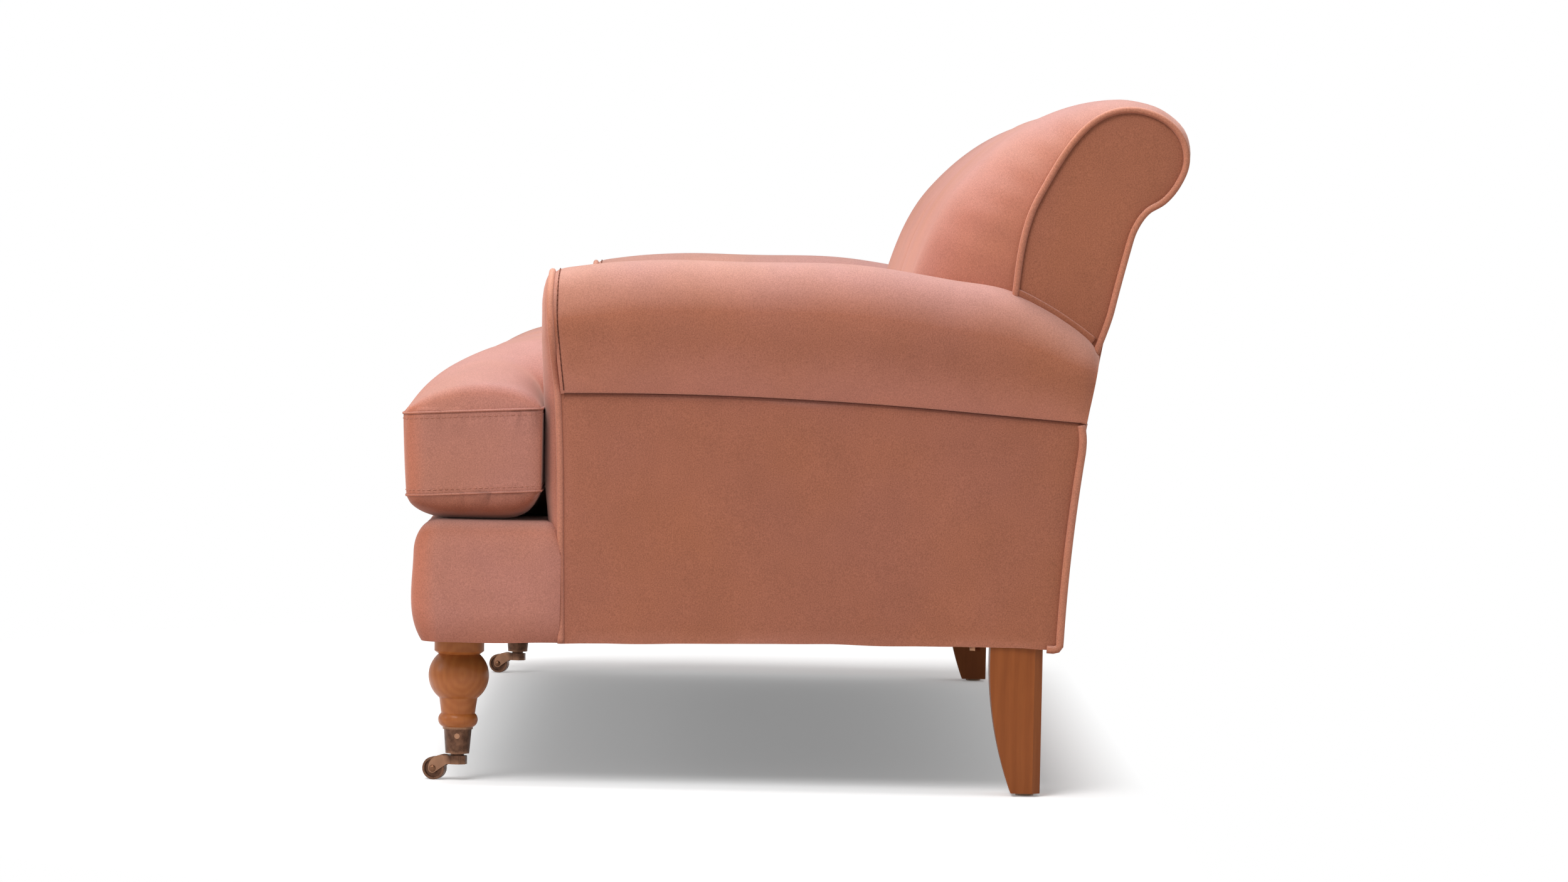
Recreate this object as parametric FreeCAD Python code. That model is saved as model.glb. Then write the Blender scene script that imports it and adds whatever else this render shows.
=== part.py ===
"""Lawson sofa: hardwood frame, springs, upholstery, turned legs on cup casters.

Millimetres. +Z is up, the front faces -Y, and the origin is on the floor under the middle of the box.
The sitter's left is +X. Each sub-part is one function, and left and right are mirror images.
"""
import FreeCAD
import Part
import math
import os

# Overall sizes
OVERALL_WIDTH = 2130.0
OVERALL_DEPTH = 980.0
OVERALL_HEIGHT = 878.0
BASE_CLEARANCE = 187.0

# Clearances
SOFT_GAP = 0.3
FIT_GAP = 0.05
BORE_CLEARANCE = 0.05

# Base frame
RAIL_THICK = 24.0
RAIL_HEIGHT = 111.0
DUST_COVER_THICK = 1.5
DUST_COVER_EDGE = 2.0
FRONT_RAIL_SETBACK = 35.0
REAR_RAIL_FROM_BACK = 11.0
CROSS_RAIL_HEIGHT = 80.0
CROSS_RAIL_X = 345.0
BLOCK_HEIGHT = 45.0
FRONT_BLOCK_WIDTH = 124.0
FRONT_BLOCK_DEPTH = 100.0
REAR_BLOCK_WIDTH = 144.0
REAR_BLOCK_DEPTH = 122.0

# Seat suspension and deck
SPRING_WIRE = 3.8
SPRING_WIDTH = 52.0
SPRING_TURN_RADIUS = 10.0
SPRING_PAIRS = 4
CLIP_LENGTH = 16.0
CLIP_WIDTH = 18.0
CLIP_HEIGHT = 6.0
DECK_THICK = 30.0

# Front border
BORDER_SETBACK = 14.0
BORDER_BOTTOM_SETBACK = 27.0
BORDER_BULGE_DROP = 42.0
BORDER_NOSE = 31.0
BORDER_TOP_DEPTH = 110.0
BORDER_TOP_THICK = 25.0

# Arms
ARM_HEIGHT = 665.0
ARM_ROLL_WIDTH = 185.0
ARM_ROLL_OVERHANG = 29.0
ARM_SETBACK = 192.0
ARM_INNER_WALL = 32.0
ARM_CREST_IN = 80.0
ARM_PANEL_THICK = 8.0
ARM_SEAM_FRONT = 494.0
ARM_SEAM_REAR = 470.0
ARM_SEAM_REAR_SETBACK = 132.0
ROLL_WAIST = 0.45
ARM_CREST_FRONT = ((0.0, 15.0), (45.0, 7.0), (110.0, 2.0), (190.0, 0.0), (290.0, 1.0))
ARM_CREST_REAR = ((380.0, 8.0), (300.0, 17.0), (226.0, 30.0), (181.0, 51.0), (141.0, 76.0), (95.0, 112.0))
ARM_POST_WIDTH = 74.0
ARM_POST_THICK = 28.0
ARM_RAIL_WIDTH = 50.0
ARM_RAIL_HEIGHT = 28.0
ARM_RAIL_LIFT = 12.0
FACING_THICK = 8.0
FACING_STEM_WIDTH = 97.0
FACING_ROLL_INSET = 24.0
FACING_EDGE = 4.0
FACING_PUFF = 17.0
FACING_PUFF_INSET = 9.0
WELT_DIAMETER = 7.0

# Back, as distances in front of the rear plane and below the top
BACK_END_SETBACK = 65.0
BACK_BASE_RUN = 153.0
BACK_BOW = 14.0
BACK_NECK = (78.0, 190.0)
BACK_CROWN = ((360.0, 288.0), (285.0, 106.0), (87.0, 0.0), (0.0, 66.0), (35.0, 132.0))
BACK_ENDS = ((221.0, 278.0), (190.0, 123.0), (80.0, 10.0), (4.0, 72.0), (36.0, 135.0))
BACK_CROWN_SEAT = 382.0
BACK_ENDS_SEAT = 228.0
BACK_SEAM_GAP = 2.0
BACK_SEAM_DIP = 0.30
BACK_SEAM_RUN = 160.0
BACK_END_RUN = 160.0
BACK_STEPS = 3
BACK_PANEL_THICK = 8.0
END_PANEL_THICK = 12.0
POST_DEPTH = 58.0
POST_THICK = 28.0
TOP_RAIL_THICK = 32.0
TOP_RAIL_DROP = 56.0
TOP_RAIL_FRONT = 118.0
TOP_RAIL_REAR = 54.0
LOWER_RAIL_HEIGHT = 60.0
LOWER_RAIL_THICK = 24.0
LOWER_RAIL_LIFT = 30.0
WEBBING_THICK = 3.0
WEBBING_WIDTH = 50.0
WEBBING_DROPS = (190.65, 96.65, 14.65)

# Seat cushions
CUSHION_BOTTOM_CROWN = 32.0
CUSHION_BOXING = 103.0
CUSHION_CROWN = 86.0
CUSHION_BELLY_RUN = 46.0
BELLY_SHARE = (0.35, 0.3)
CUSHION_GAP = 3.0
CUSHION_SIDE_GAP = 4.0
CUSHION_BACK_GAP = 9.0
CUSHION_EAR_INSET = 25.0
CUSHION_EAR_GAP = 2.5
CUSHION_CORNER = 20.0
CUSHION_NOTCH = 9.0
CUSHION_DRAW_IN = 3.0
CROWN_RUN_FRONT = 90.0
CROWN_RUN_EAR_BACK = 40.0
CROWN_RUN_EAR_SIDE = 210.0
CROWN_RUN_SIDE = 120.0
CROWN_STEPS = 5
COVER_THICK = 3.0

# Front legs, as heights above the floor and diameters
LEG_IN_FROM_SIDE = 86.0
LEG_SETBACK = 71.0
LEG_COLLAR = (164.0, 63.0)
LEG_NECK = (160.0, 52.0)
LEG_BULB = (131.5, 76.4)
LEG_BULB_FOOT = (104.6, 48.5)
LEG_CUP_TOP = (103.0, 47.7)
LEG_CUP_FOOT = (85.0, 42.7)
LEG_RING = (78.0, 50.0)
LEG_RING_FOOT = (68.0, 39.4)
SPIGOT_LENGTH = 21.0
SPIGOT_TOP = 30.4
SPIGOT_FOOT = 27.4
STUD_DIAMETER = 8.0
STUD_IN_LEG = 45.0
STUD_IN_BLOCK = 36.0

# Casters
SOCKET_RIM = (38.3, 3.0)
SOCKET_TOP = 35.2
SOCKET_FOOT = 30.2
SOCKET_HEIGHT = 33.7
SOCKET_FLOOR = 7.0
PIVOT_DIAMETER = 10.0
PIVOT_HEAD = (16.0, 2.6)
PIVOT_COLLAR = (17.0, 3.0)
HORN_HEIGHT = 10.8
HORN_ACROSS = 23.2
CHEEK_THICK = 3.0
CHEEK_EYE = 5.6
CHEEK_BEND = (0.28, 0.78)
WHEEL_DIAMETER = 29.0
WHEEL_WIDTH = 14.0
WHEEL_SIDE_GAP = 0.8
WHEEL_RIM = 3.2
WHEEL_DISH = 3.0
WHEEL_HUB = 11.0
CASTER_TRAIL = 29.5
CASTER_TURN = 12.0
AXLE_DIAMETER = 5.0
AXLE_HEAD = (9.0, 2.2)
AXLE_TIP = 1.6
DOME_SWELL = (0.8, 0.6)
SCREW_DROP = 11.0
SCREW_HEAD = (6.8, 2.0)
SCREW_SHANK = (3.2, 9.0)

# Rear legs
REAR_LEG_IN = 10.0
REAR_LEG_THICK = 58.0
REAR_LEG_TOP = 66.0
REAR_LEG_FOOT = 37.0
REAR_LEG_BACK = 174.0
REAR_LEG_BOW = 9.0
REAR_LEG_CHAMFER = 10.0
GLIDE_DIAMETER = 23.0
GLIDE_THICK = 4.0
GLIDE_NAIL = (3.0, 18.0)

# Bolts under the rear corners
BOLT_DIAMETER = 8.0
BOLT_LENGTH = 38.0
BOLT_ACROSS = 13.0
BOLT_HEAD = 5.6
WASHER_DIAMETER = 22.0
WASHER_THICK = 1.6
BOLT_PLACES = ((130.0, 276.0), (56.0, 258.0))

# Planes that follow from the sizes above
FRONT_Y = -OVERALL_DEPTH / 2
REAR_Y = OVERALL_DEPTH / 2
ARM_OUT = OVERALL_WIDTH / 2
ARM_IN = ARM_OUT - ARM_ROLL_WIDTH
SIDE_X = ARM_OUT - ARM_ROLL_OVERHANG
FRAME_X = SIDE_X - ARM_PANEL_THICK
RAIL_IN_X = FRAME_X - RAIL_THICK
BACK_X = ARM_OUT - BACK_END_SETBACK
PAD_END_X = BACK_X - END_PANEL_THICK
POST_X = PAD_END_X - FIT_GAP
RAIL_BOTTOM = BASE_CLEARANCE + DUST_COVER_THICK
RAIL_TOP = RAIL_BOTTOM + RAIL_HEIGHT
DECK_BOTTOM = RAIL_TOP + SPRING_WIRE + FIT_GAP
DECK_TOP = DECK_BOTTOM + DECK_THICK
RAIL_FRONT_Y = FRONT_Y + FRONT_RAIL_SETBACK
FRONT_RAIL_BACK_Y = RAIL_FRONT_Y + RAIL_THICK
REAR_RAIL_BACK_Y = REAR_Y - BACK_BASE_RUN - REAR_RAIL_FROM_BACK
REAR_RAIL_FRONT_Y = REAR_RAIL_BACK_Y - RAIL_THICK
BLOCK_TOP = RAIL_BOTTOM + BLOCK_HEIGHT
FACING_Y = FRONT_Y + ARM_SETBACK
ARM_FRONT_Y = FACING_Y + FACING_THICK
NECK_Y = REAR_Y - BACK_NECK[0]
NECK_Z = OVERALL_HEIGHT - BACK_NECK[1]
POST_INSET = BACK_PANEL_THICK + POST_DEPTH
PAD_INSET = POST_INSET + WEBBING_THICK + FIT_GAP
LEG_X = SIDE_X - LEG_IN_FROM_SIDE
LEG_Y = FRONT_Y + LEG_SETBACK
REAR_LEG_OUT_X = SIDE_X - REAR_LEG_IN
REAR_LEG_BACK_Y = REAR_Y - REAR_LEG_BACK
REAR_STUD_X = REAR_LEG_OUT_X - REAR_LEG_THICK / 2
REAR_STUD_Y = REAR_LEG_BACK_Y - REAR_LEG_TOP / 2
GLIDE_Y = REAR_LEG_BACK_Y - REAR_LEG_FOOT / 2
CROWN_SEAT_Y = REAR_Y - BACK_CROWN_SEAT
WHEEL_RADIUS = WHEEL_DIAMETER / 2
SOCKET_TOP_Z = LEG_RING_FOOT[0]
SOCKET_FOOT_Z = SOCKET_TOP_Z - SOCKET_HEIGHT
SPIGOT_FOOT_Z = SOCKET_TOP_Z - SPIGOT_LENGTH
HORN_TOP = SOCKET_FOOT_Z - PIVOT_COLLAR[1]
HORN_BOTTOM = HORN_TOP - HORN_HEIGHT
CHEEK_IN_X = WHEEL_WIDTH / 2 + WHEEL_SIDE_GAP
CHEEK_OUT_X = CHEEK_IN_X + CHEEK_THICK
SPRING_FRONT_Y = (RAIL_FRONT_Y + FRONT_RAIL_BACK_Y) / 2
SPRING_REAR_Y = (REAR_RAIL_FRONT_Y + REAR_RAIL_BACK_Y) / 2

PARTS = {}


def vec(x, y, z):
    """A point or direction."""
    return FreeCAD.Vector(x, y, z)


# Directions of the back's outline at its foot, its top and its rearmost point
BACK_DIRECTIONS = {0: vec(0, 0, 1), 3: vec(0, 1, 0), 4: vec(0, 0, -1)}


def box(x0, x1, y0, y1, z0, z1):
    """A box between two corners."""
    return Part.makeBox(x1 - x0, y1 - y0, z1 - z0, vec(x0, y0, z0))


def line(a, b):
    """A straight edge."""
    return Part.LineSegment(a, b).toShape()


def arc(a, middle, b):
    """A round edge through three points."""
    return Part.Arc(a, middle, b).toShape()


def polygon(points):
    """The edges of a closed outline of straight sides."""
    return [line(a, b) for a, b in zip(points, points[1:] + points[:1])]


def chain(points):
    """Straight edges through points, left open."""
    return [line(a, b) for a, b in zip(points, points[1:])]


def prism(edges, along):
    """A closed flat outline, extruded."""
    return Part.Face(Part.Wire(edges)).extrude(along)


def cylinder(diameter, base, along):
    """A round bar from base, as long as along."""
    return Part.makeCylinder(diameter / 2, along.Length, base, along)


def mirrored(shape):
    """The same piece on the sitter's right."""
    return shape.mirror(vec(0, 0, 0), vec(1, 0, 0))


def both_sides(shape):
    """A group of one piece and its mirror image."""
    return Part.makeCompound([shape, mirrored(shape)])


def add(name, shape):
    """Keep a piece under its node's name."""
    PARTS[name] = shape


def add_pair(name, shape):
    """Keep a piece for the left and its mirror image for the right."""
    add(name + "_left", shape)
    add(name + "_right", mirrored(shape))


def tangent_arc(start, apex, end):
    """The arc from start to end whose end tangents meet at apex."""
    middle = (start + end) * 0.5
    half_chord = (end - start).Length / 2
    rise = (apex - middle).Length / half_chord
    if rise < 1e-6:
        return line(start, end)
    share = (math.sqrt(1 + rise * rise) - 1) / (rise * rise)
    return arc(start, middle + (apex - middle) * share, end)


def smooth(points, known=None):
    """Tangent arcs through points, two for each span. Known directions go by the point's number."""
    chords = [b - a for a, b in zip(points, points[1:])]
    turns = []
    for before, after in zip(chords, chords[1:]):
        turn = before * (1 / before.Length ** 2) + after * (1 / after.Length ** 2)
        turns.append(turn.normalize())
    unit_first = chords[0] * (1 / chords[0].Length)
    unit_last = chords[-1] * (1 / chords[-1].Length)
    start = unit_first * (2 * unit_first.dot(turns[0])) - turns[0]
    end = unit_last * (2 * unit_last.dot(turns[-1])) - turns[-1]
    directions = [start] + turns + [end]
    for number, direction in (known or {}).items():
        directions[number] = direction
    edges = []
    for i, chord in enumerate(chords):
        t0 = directions[i]
        t1 = directions[i + 1]
        a = 2 * (1 - t0.dot(t1))
        b = 2 * chord.dot(t0 + t1)
        c = -chord.dot(chord)
        reach = -c / b if a < 1e-9 else (math.sqrt(b * b - 4 * a * c) - b) / (2 * a)
        apex0 = points[i] + t0 * reach
        apex1 = points[i + 1] - t1 * reach
        joint = (apex0 + apex1) * 0.5
        edges.append(tangent_arc(points[i], apex0, joint))
        edges.append(tangent_arc(joint, apex1, points[i + 1]))
    return edges


def tube(edges, diameter):
    """A round tube along a smooth run of edges."""
    path = Part.Wire(edges)
    first = path.OrderedEdges[0]
    start = first.valueAt(first.FirstParameter)
    ahead = first.tangentAt(first.FirstParameter)
    ring = Part.Wire(Part.makeCircle(diameter / 2, start, ahead))
    return path.makePipeShell([ring], True, False)


# Outline of the back

def back_circle():
    """Centre and radius of the outside back's bow, in the YZ plane."""
    base = vec(0, REAR_Y - BACK_BASE_RUN, BASE_CLEARANCE)
    neck = vec(0, NECK_Y, NECK_Z)
    middle = (base + neck) * 0.5 - vec(0, BACK_BOW, 0)
    circle = arc(base, middle, neck).Curve
    return circle.Center, circle.Radius


def back_y(z, inset):
    """Where a surface that lies inset in front of the outside back is at a height."""
    centre, radius = back_circle()
    return centre.y - math.sqrt(radius ** 2 - (z - centre.z) ** 2) - inset


def back_arc(x, inset, z0, z1):
    """The bowed edge between two heights."""
    heights = (z0, (z0 + z1) / 2, z1)
    return arc(*[vec(x, back_y(z, inset), z) for z in heights])


def back_slab(x0, x1, inset0, inset1, z0, z1):
    """A slab between two surfaces that follow the outside back."""
    edges = [
        back_arc(x0, inset0, z0, z1),
        line(vec(x0, back_y(z1, inset0), z1), vec(x0, back_y(z1, inset1), z1)),
        back_arc(x0, inset1, z1, z0),
        line(vec(x0, back_y(z0, inset1), z0), vec(x0, back_y(z0, inset0), z0)),
    ]
    return prism(edges, vec(x1 - x0, 0, 0))


def back_points(x, fullness):
    """Front, top and scroll of the back at a station, from the end outline to the full crown."""
    points = [vec(x, REAR_Y - mix(BACK_ENDS_SEAT, BACK_CROWN_SEAT, fullness), DECK_TOP + SOFT_GAP)]
    for ends, crown in zip(BACK_ENDS, BACK_CROWN):
        setback = mix(ends[0], crown[0], fullness)
        drop = mix(ends[1], crown[1], fullness)
        points.append(vec(x, REAR_Y - setback, OVERALL_HEIGHT - drop))
    points.append(vec(x, NECK_Y, NECK_Z))
    return points


def mix(a, b, share):
    """A value between two others."""
    return a + (b - a) * share


def back_section(x, fullness):
    """The closed outline of the inside back's padding at a station."""
    points = back_points(x, fullness)
    foot = points[0]
    neck = points[-1]
    inner = vec(x, back_y(NECK_Z, PAD_INSET), NECK_Z)
    heel = vec(x, back_y(foot.z, PAD_INSET), foot.z)
    edges = smooth(points, BACK_DIRECTIONS)
    edges += [line(neck, inner), back_arc(x, PAD_INSET, NECK_Z, foot.z), line(heel, foot)]
    return Part.Wire(edges)


def back_stations():
    """Places across the left half of the back and how full the crown is there."""
    start = BACK_SEAM_GAP / 2
    shares = [step / BACK_STEPS for step in range(BACK_STEPS + 1)]
    stations = [(start + BACK_SEAM_RUN * s, 1 - BACK_SEAM_DIP * (1 - s) ** 2) for s in shares]
    first_full = start + BACK_SEAM_RUN
    last_full = PAD_END_X - BACK_END_RUN
    stations += [(mix(first_full, last_full, s), 1.0) for s in shares[1:]]
    stations += [(last_full + BACK_END_RUN * s, 1 - s ** 2) for s in shares[1:]]
    return stations


def back_pad_form():
    """The left half of the inside back, crowned between the centre seam and the end panel."""
    return Part.makeLoft([back_section(x, fullness) for x, fullness in back_stations()], True, False)


# Arms

def seam_z(y):
    """Height of the seam under the arm roll."""
    front = ARM_FRONT_Y
    rear = REAR_Y - ARM_SEAM_REAR_SETBACK
    return mix(ARM_SEAM_FRONT, ARM_SEAM_REAR, (y - front) / (rear - front))


def arm_section(y, crest):
    """The closed outline of an arm's roll and inside wall at a station."""
    seam = seam_z(y)
    waist = mix(seam, crest, ROLL_WAIST)
    crest_x = ARM_OUT - ARM_CREST_IN
    fullness = (crest - seam) / (ARM_HEIGHT - ARM_SEAM_FRONT)
    out_x = SIDE_X + ARM_ROLL_OVERHANG * min(1.0, fullness)
    wall_x = ARM_IN + ARM_INNER_WALL
    tuck = vec(SIDE_X - SOFT_GAP, y, seam)
    foot = vec(ARM_IN, y, DECK_TOP)
    inner = vec(ARM_IN, y, waist)
    top = vec(crest_x, y, crest)
    outer = vec(out_x, y, waist)
    wall_top = vec(wall_x, y, seam)
    wall_foot = vec(wall_x, y, DECK_TOP)
    round_over = smooth([inner, top, outer, tuck], {0: vec(0, 0, 1), 1: vec(1, 0, 0), 2: vec(0, 0, -1)})
    return Part.Wire([line(foot, inner)] + round_over + chain([tuck, wall_top, wall_foot, foot]))


def arm_form():
    """The left arm's roll and inside wall, before the back and the frame are cut from it."""
    stations = [(ARM_FRONT_Y + along, ARM_HEIGHT - drop) for along, drop in ARM_CREST_FRONT]
    stations += [(REAR_Y - setback, ARM_HEIGHT - drop) for setback, drop in ARM_CREST_REAR]
    return Part.makeLoft([arm_section(y, crest) for y, crest in stations], True, False)


def arm_top_rail():
    """The board inside the arm roll, from the front post to the back post."""
    z0 = ARM_SEAM_FRONT + ARM_RAIL_LIFT
    x1 = RAIL_IN_X
    return box(x1 - ARM_RAIL_WIDTH, x1, ARM_FRONT_Y, NECK_Y - POST_INSET, z0, z0 + ARM_RAIL_HEIGHT)


def arm_front_post():
    """The upright at the front of the arm, beside the side rail."""
    top = ARM_SEAM_FRONT + ARM_RAIL_LIFT
    x1 = RAIL_IN_X
    return box(x1 - ARM_POST_WIDTH, x1, ARM_FRONT_Y, ARM_FRONT_Y + ARM_POST_THICK, RAIL_BOTTOM, top)


def outside_arm_panel(behind_back):
    """The flat panel under the arm roll, down to the base."""
    x0 = FRAME_X
    points = [
        vec(x0, FACING_Y, BASE_CLEARANCE),
        vec(x0, REAR_Y, BASE_CLEARANCE),
        vec(x0, REAR_Y, seam_z(REAR_Y) - SOFT_GAP),
        vec(x0, ARM_FRONT_Y, seam_z(ARM_FRONT_Y) - SOFT_GAP),
        vec(x0, ARM_FRONT_Y, RAIL_TOP),
        vec(x0, FACING_Y, RAIL_TOP),
    ]
    panel = prism(polygon(points), vec(ARM_PANEL_THICK, 0, 0))
    return panel.cut(behind_back)


def facing_centre():
    """Middle of the arm front's round head: X, Z, half width and half height."""
    top = ARM_HEIGHT - ARM_CREST_FRONT[0][1] - FACING_EDGE
    bottom = ARM_SEAM_FRONT + FACING_ROLL_INSET
    outer = ARM_OUT - FACING_EDGE - WELT_DIAMETER / 2
    inner = ARM_IN + FACING_ROLL_INSET
    return (inner + outer) / 2, (top + bottom) / 2, (outer - inner) / 2, (top - bottom) / 2


def facing_head(y, inset):
    """The round head's outline, drawn in by inset, as four arcs."""
    cx, cz, half_width, half_height = facing_centre()
    a = half_width - inset
    b = half_height - inset
    edges = []
    for step in range(4):
        angles = [math.pi / 2 * (step + part) for part in (0, 0.5, 1)]
        edges.append(arc(*[vec(cx + a * math.cos(t), y, cz + b * math.sin(t)) for t in angles]))
    return Part.Wire(edges)


def facing_outline():
    """The facing's edge from its outer foot round the head to its inner foot."""
    y = FACING_Y
    cx, cz, half_width, half_height = facing_centre()
    outer = SIDE_X - FACING_EDGE
    inner = outer - FACING_STEM_WIDTH
    neck_z = cz - half_height
    foot_z = RAIL_TOP + SOFT_GAP
    up = vec(0, 0, 1)
    points = [
        vec(outer, y, neck_z - FACING_ROLL_INSET),
        vec(cx + half_width, y, cz),
        vec(cx, y, cz + half_height),
        vec(cx - half_width, y, cz),
        vec(inner, y, neck_z - FACING_ROLL_INSET),
    ]
    outer_foot = vec(outer, y, foot_z)
    inner_foot = vec(inner, y, foot_z)
    return outer_foot, smooth(points, {0: up, 4: up * -1}), inner_foot, points


def arm_facing():
    """The padded scroll panel on the arm's front."""
    outer_foot, edges, inner_foot, points = facing_outline()
    outline = [line(outer_foot, points[0])] + edges
    outline += [line(points[-1], inner_foot), line(inner_foot, outer_foot)]
    board = prism(outline, vec(0, FACING_THICK, 0))
    puff = []
    for step in range(CROWN_STEPS):
        turn = math.pi / 2 * step / CROWN_STEPS
        inset = FACING_PUFF_INSET + (1 - math.cos(turn)) * FACING_PUFF * 2
        puff.append(facing_head(FACING_Y - FACING_PUFF * math.sin(turn), inset))
    return board.fuse(Part.makeLoft(puff, True, True))


def arm_front_welt():
    """The piping round the facing, down the outer edge to the base."""
    outer_foot, edges, inner_foot, points = facing_outline()
    bottom = vec(outer_foot.x, outer_foot.y, BASE_CLEARANCE)
    path = [line(bottom, points[0])] + edges
    path.append(line(points[-1], vec(inner_foot.x, inner_foot.y, DECK_TOP + WELT_DIAMETER)))
    welt = tube(path, WELT_DIAMETER)
    welt.translate(vec(0, -WELT_DIAMETER / 2 - FIT_GAP, 0))
    return welt


# Back frame and panels

def back_post(x0, x1, z0):
    """An upright of the back, with its head under the top rail."""
    shaft = back_slab(x0, x1, BACK_PANEL_THICK, POST_INSET, z0, NECK_Z)
    head_z = OVERALL_HEIGHT - TOP_RAIL_DROP - TOP_RAIL_THICK
    head = [
        vec(x0, NECK_Y - POST_INSET, NECK_Z),
        vec(x0, NECK_Y - BACK_PANEL_THICK, NECK_Z),
        vec(x0, REAR_Y - TOP_RAIL_REAR, head_z),
        vec(x0, REAR_Y - TOP_RAIL_FRONT, head_z),
    ]
    return shaft.fuse(prism(polygon(head), vec(x1 - x0, 0, 0))).removeSplitter()


def back_top_rail():
    """The rail inside the scroll, on top of the posts."""
    z1 = OVERALL_HEIGHT - TOP_RAIL_DROP
    return box(-POST_X, POST_X, REAR_Y - TOP_RAIL_FRONT, REAR_Y - TOP_RAIL_REAR, z1 - TOP_RAIL_THICK, z1)


def back_lower_rail(posts):
    """The rail between the posts, level with the top of the seat cushions."""
    z0 = DECK_TOP + LOWER_RAIL_LIFT
    rail = back_slab(-POST_X, POST_X, POST_INSET - LOWER_RAIL_THICK, POST_INSET, z0, z0 + LOWER_RAIL_HEIGHT)
    return rail.cut(posts)


def back_webbing(arm_rails):
    """Straps across the front of the posts, as many as fit above the lower rail, clear of the arms' rails."""
    straps = []
    lower_rail_top = DECK_TOP + LOWER_RAIL_LIFT + LOWER_RAIL_HEIGHT
    inset = POST_INSET + WEBBING_THICK
    for drop in WEBBING_DROPS:
        z1 = NECK_Z - drop
        z0 = z1 - WEBBING_WIDTH
        if z0 >= lower_rail_top:
            strap = back_slab(-POST_X, POST_X, POST_INSET, inset, z0, z1)
            straps += strap.cut(arm_rails).Solids
    return Part.makeCompound(straps)


def outside_back_panel():
    """The bowed rear panel: wide below the arms' rear ends, narrower between the end welts."""
    step_z = seam_z(REAR_Y)
    lower = back_slab(-FRAME_X, FRAME_X, 0.0, BACK_PANEL_THICK, BASE_CLEARANCE, step_z)
    upper = back_slab(-PAD_END_X, PAD_END_X, 0.0, BACK_PANEL_THICK, step_z, NECK_Z)
    return lower.fuse(upper).removeSplitter()


def back_end_panel(arm):
    """The flat panel on the end of the back, above the arm."""
    points = back_points(PAD_END_X, 0.0)
    foot = points[0]
    heel = vec(PAD_END_X, back_y(foot.z, 0.0), foot.z)
    edges = smooth(points, BACK_DIRECTIONS)
    edges += [back_arc(PAD_END_X, 0.0, NECK_Z, foot.z), line(heel, foot)]
    panel = prism(edges, vec(END_PANEL_THICK, 0, 0))
    return highest(panel.cut(arm))


def highest(shape):
    """The solid of a cut shape that reaches highest."""
    return max(shape.Solids, key=lambda solid: solid.BoundBox.ZMax)


def back_end_welt(arm):
    """The piping round the end panel, and down the rear corner below the arm."""
    radius = WELT_DIAMETER / 2
    x = BACK_X + radius + FIT_GAP
    centre, _ = back_circle()
    outward = vec(0, NECK_Y, NECK_Z) - vec(0, centre.y, centre.z)
    down = vec(0, outward.z, -outward.y).normalize()
    down = down if down.z < 0 else down * -1
    edges = smooth(back_points(x, 0.0), {**BACK_DIRECTIONS, 6: down})
    edges.append(back_arc(x, 0.0, NECK_Z, seam_z(REAR_Y)))
    upper = highest(tube(edges, WELT_DIAMETER).cut(arm))
    corner_x = FRAME_X + ARM_PANEL_THICK / 2
    corner_top = seam_z(REAR_Y) - SOFT_GAP
    corner = tube([back_arc(corner_x, BACK_PANEL_THICK / 2, BASE_CLEARANCE, corner_top)], WELT_DIAMETER)
    return Part.makeCompound([upper, corner])


# Seat cushions

def cushion_outline(z, front, side, ear_back, ear_side, rear):
    """The left cushion's T outline at a height, drawn in from each edge."""
    x0 = CUSHION_GAP / 2 + side
    x1 = ARM_IN - CUSHION_SIDE_GAP - side
    x2 = ARM_OUT - CUSHION_EAR_INSET - ear_side
    y0 = FRONT_Y + front
    y1 = FACING_Y - FACING_PUFF - CUSHION_EAR_GAP - ear_back
    y2 = CROWN_SEAT_Y - CUSHION_BACK_GAP - rear
    r = CUSHION_CORNER
    n = CUSHION_NOTCH
    corners = [(x0, y0, r), (x2, y0, r), (x2, y1, n), (x1, y1, n), (x1, y2, r), (x0, y2, r)]
    starts = []
    for i, (x, y, radius) in enumerate(corners):
        here = vec(x, y, z)
        before = vec(corners[i - 1][0], corners[i - 1][1], z)
        after = vec(corners[(i + 1) % 6][0], corners[(i + 1) % 6][1], z)
        come = (here - before).normalize()
        go = (after - here).normalize()
        starts.append((here - come * radius, here, here + go * radius))
    edges = []
    for i, (enter, corner, leave) in enumerate(starts):
        edges.append(tangent_arc(enter, corner, leave))
        edges.append(line(leave, starts[(i + 1) % 6][0]))
    return Part.Wire(edges)


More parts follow.
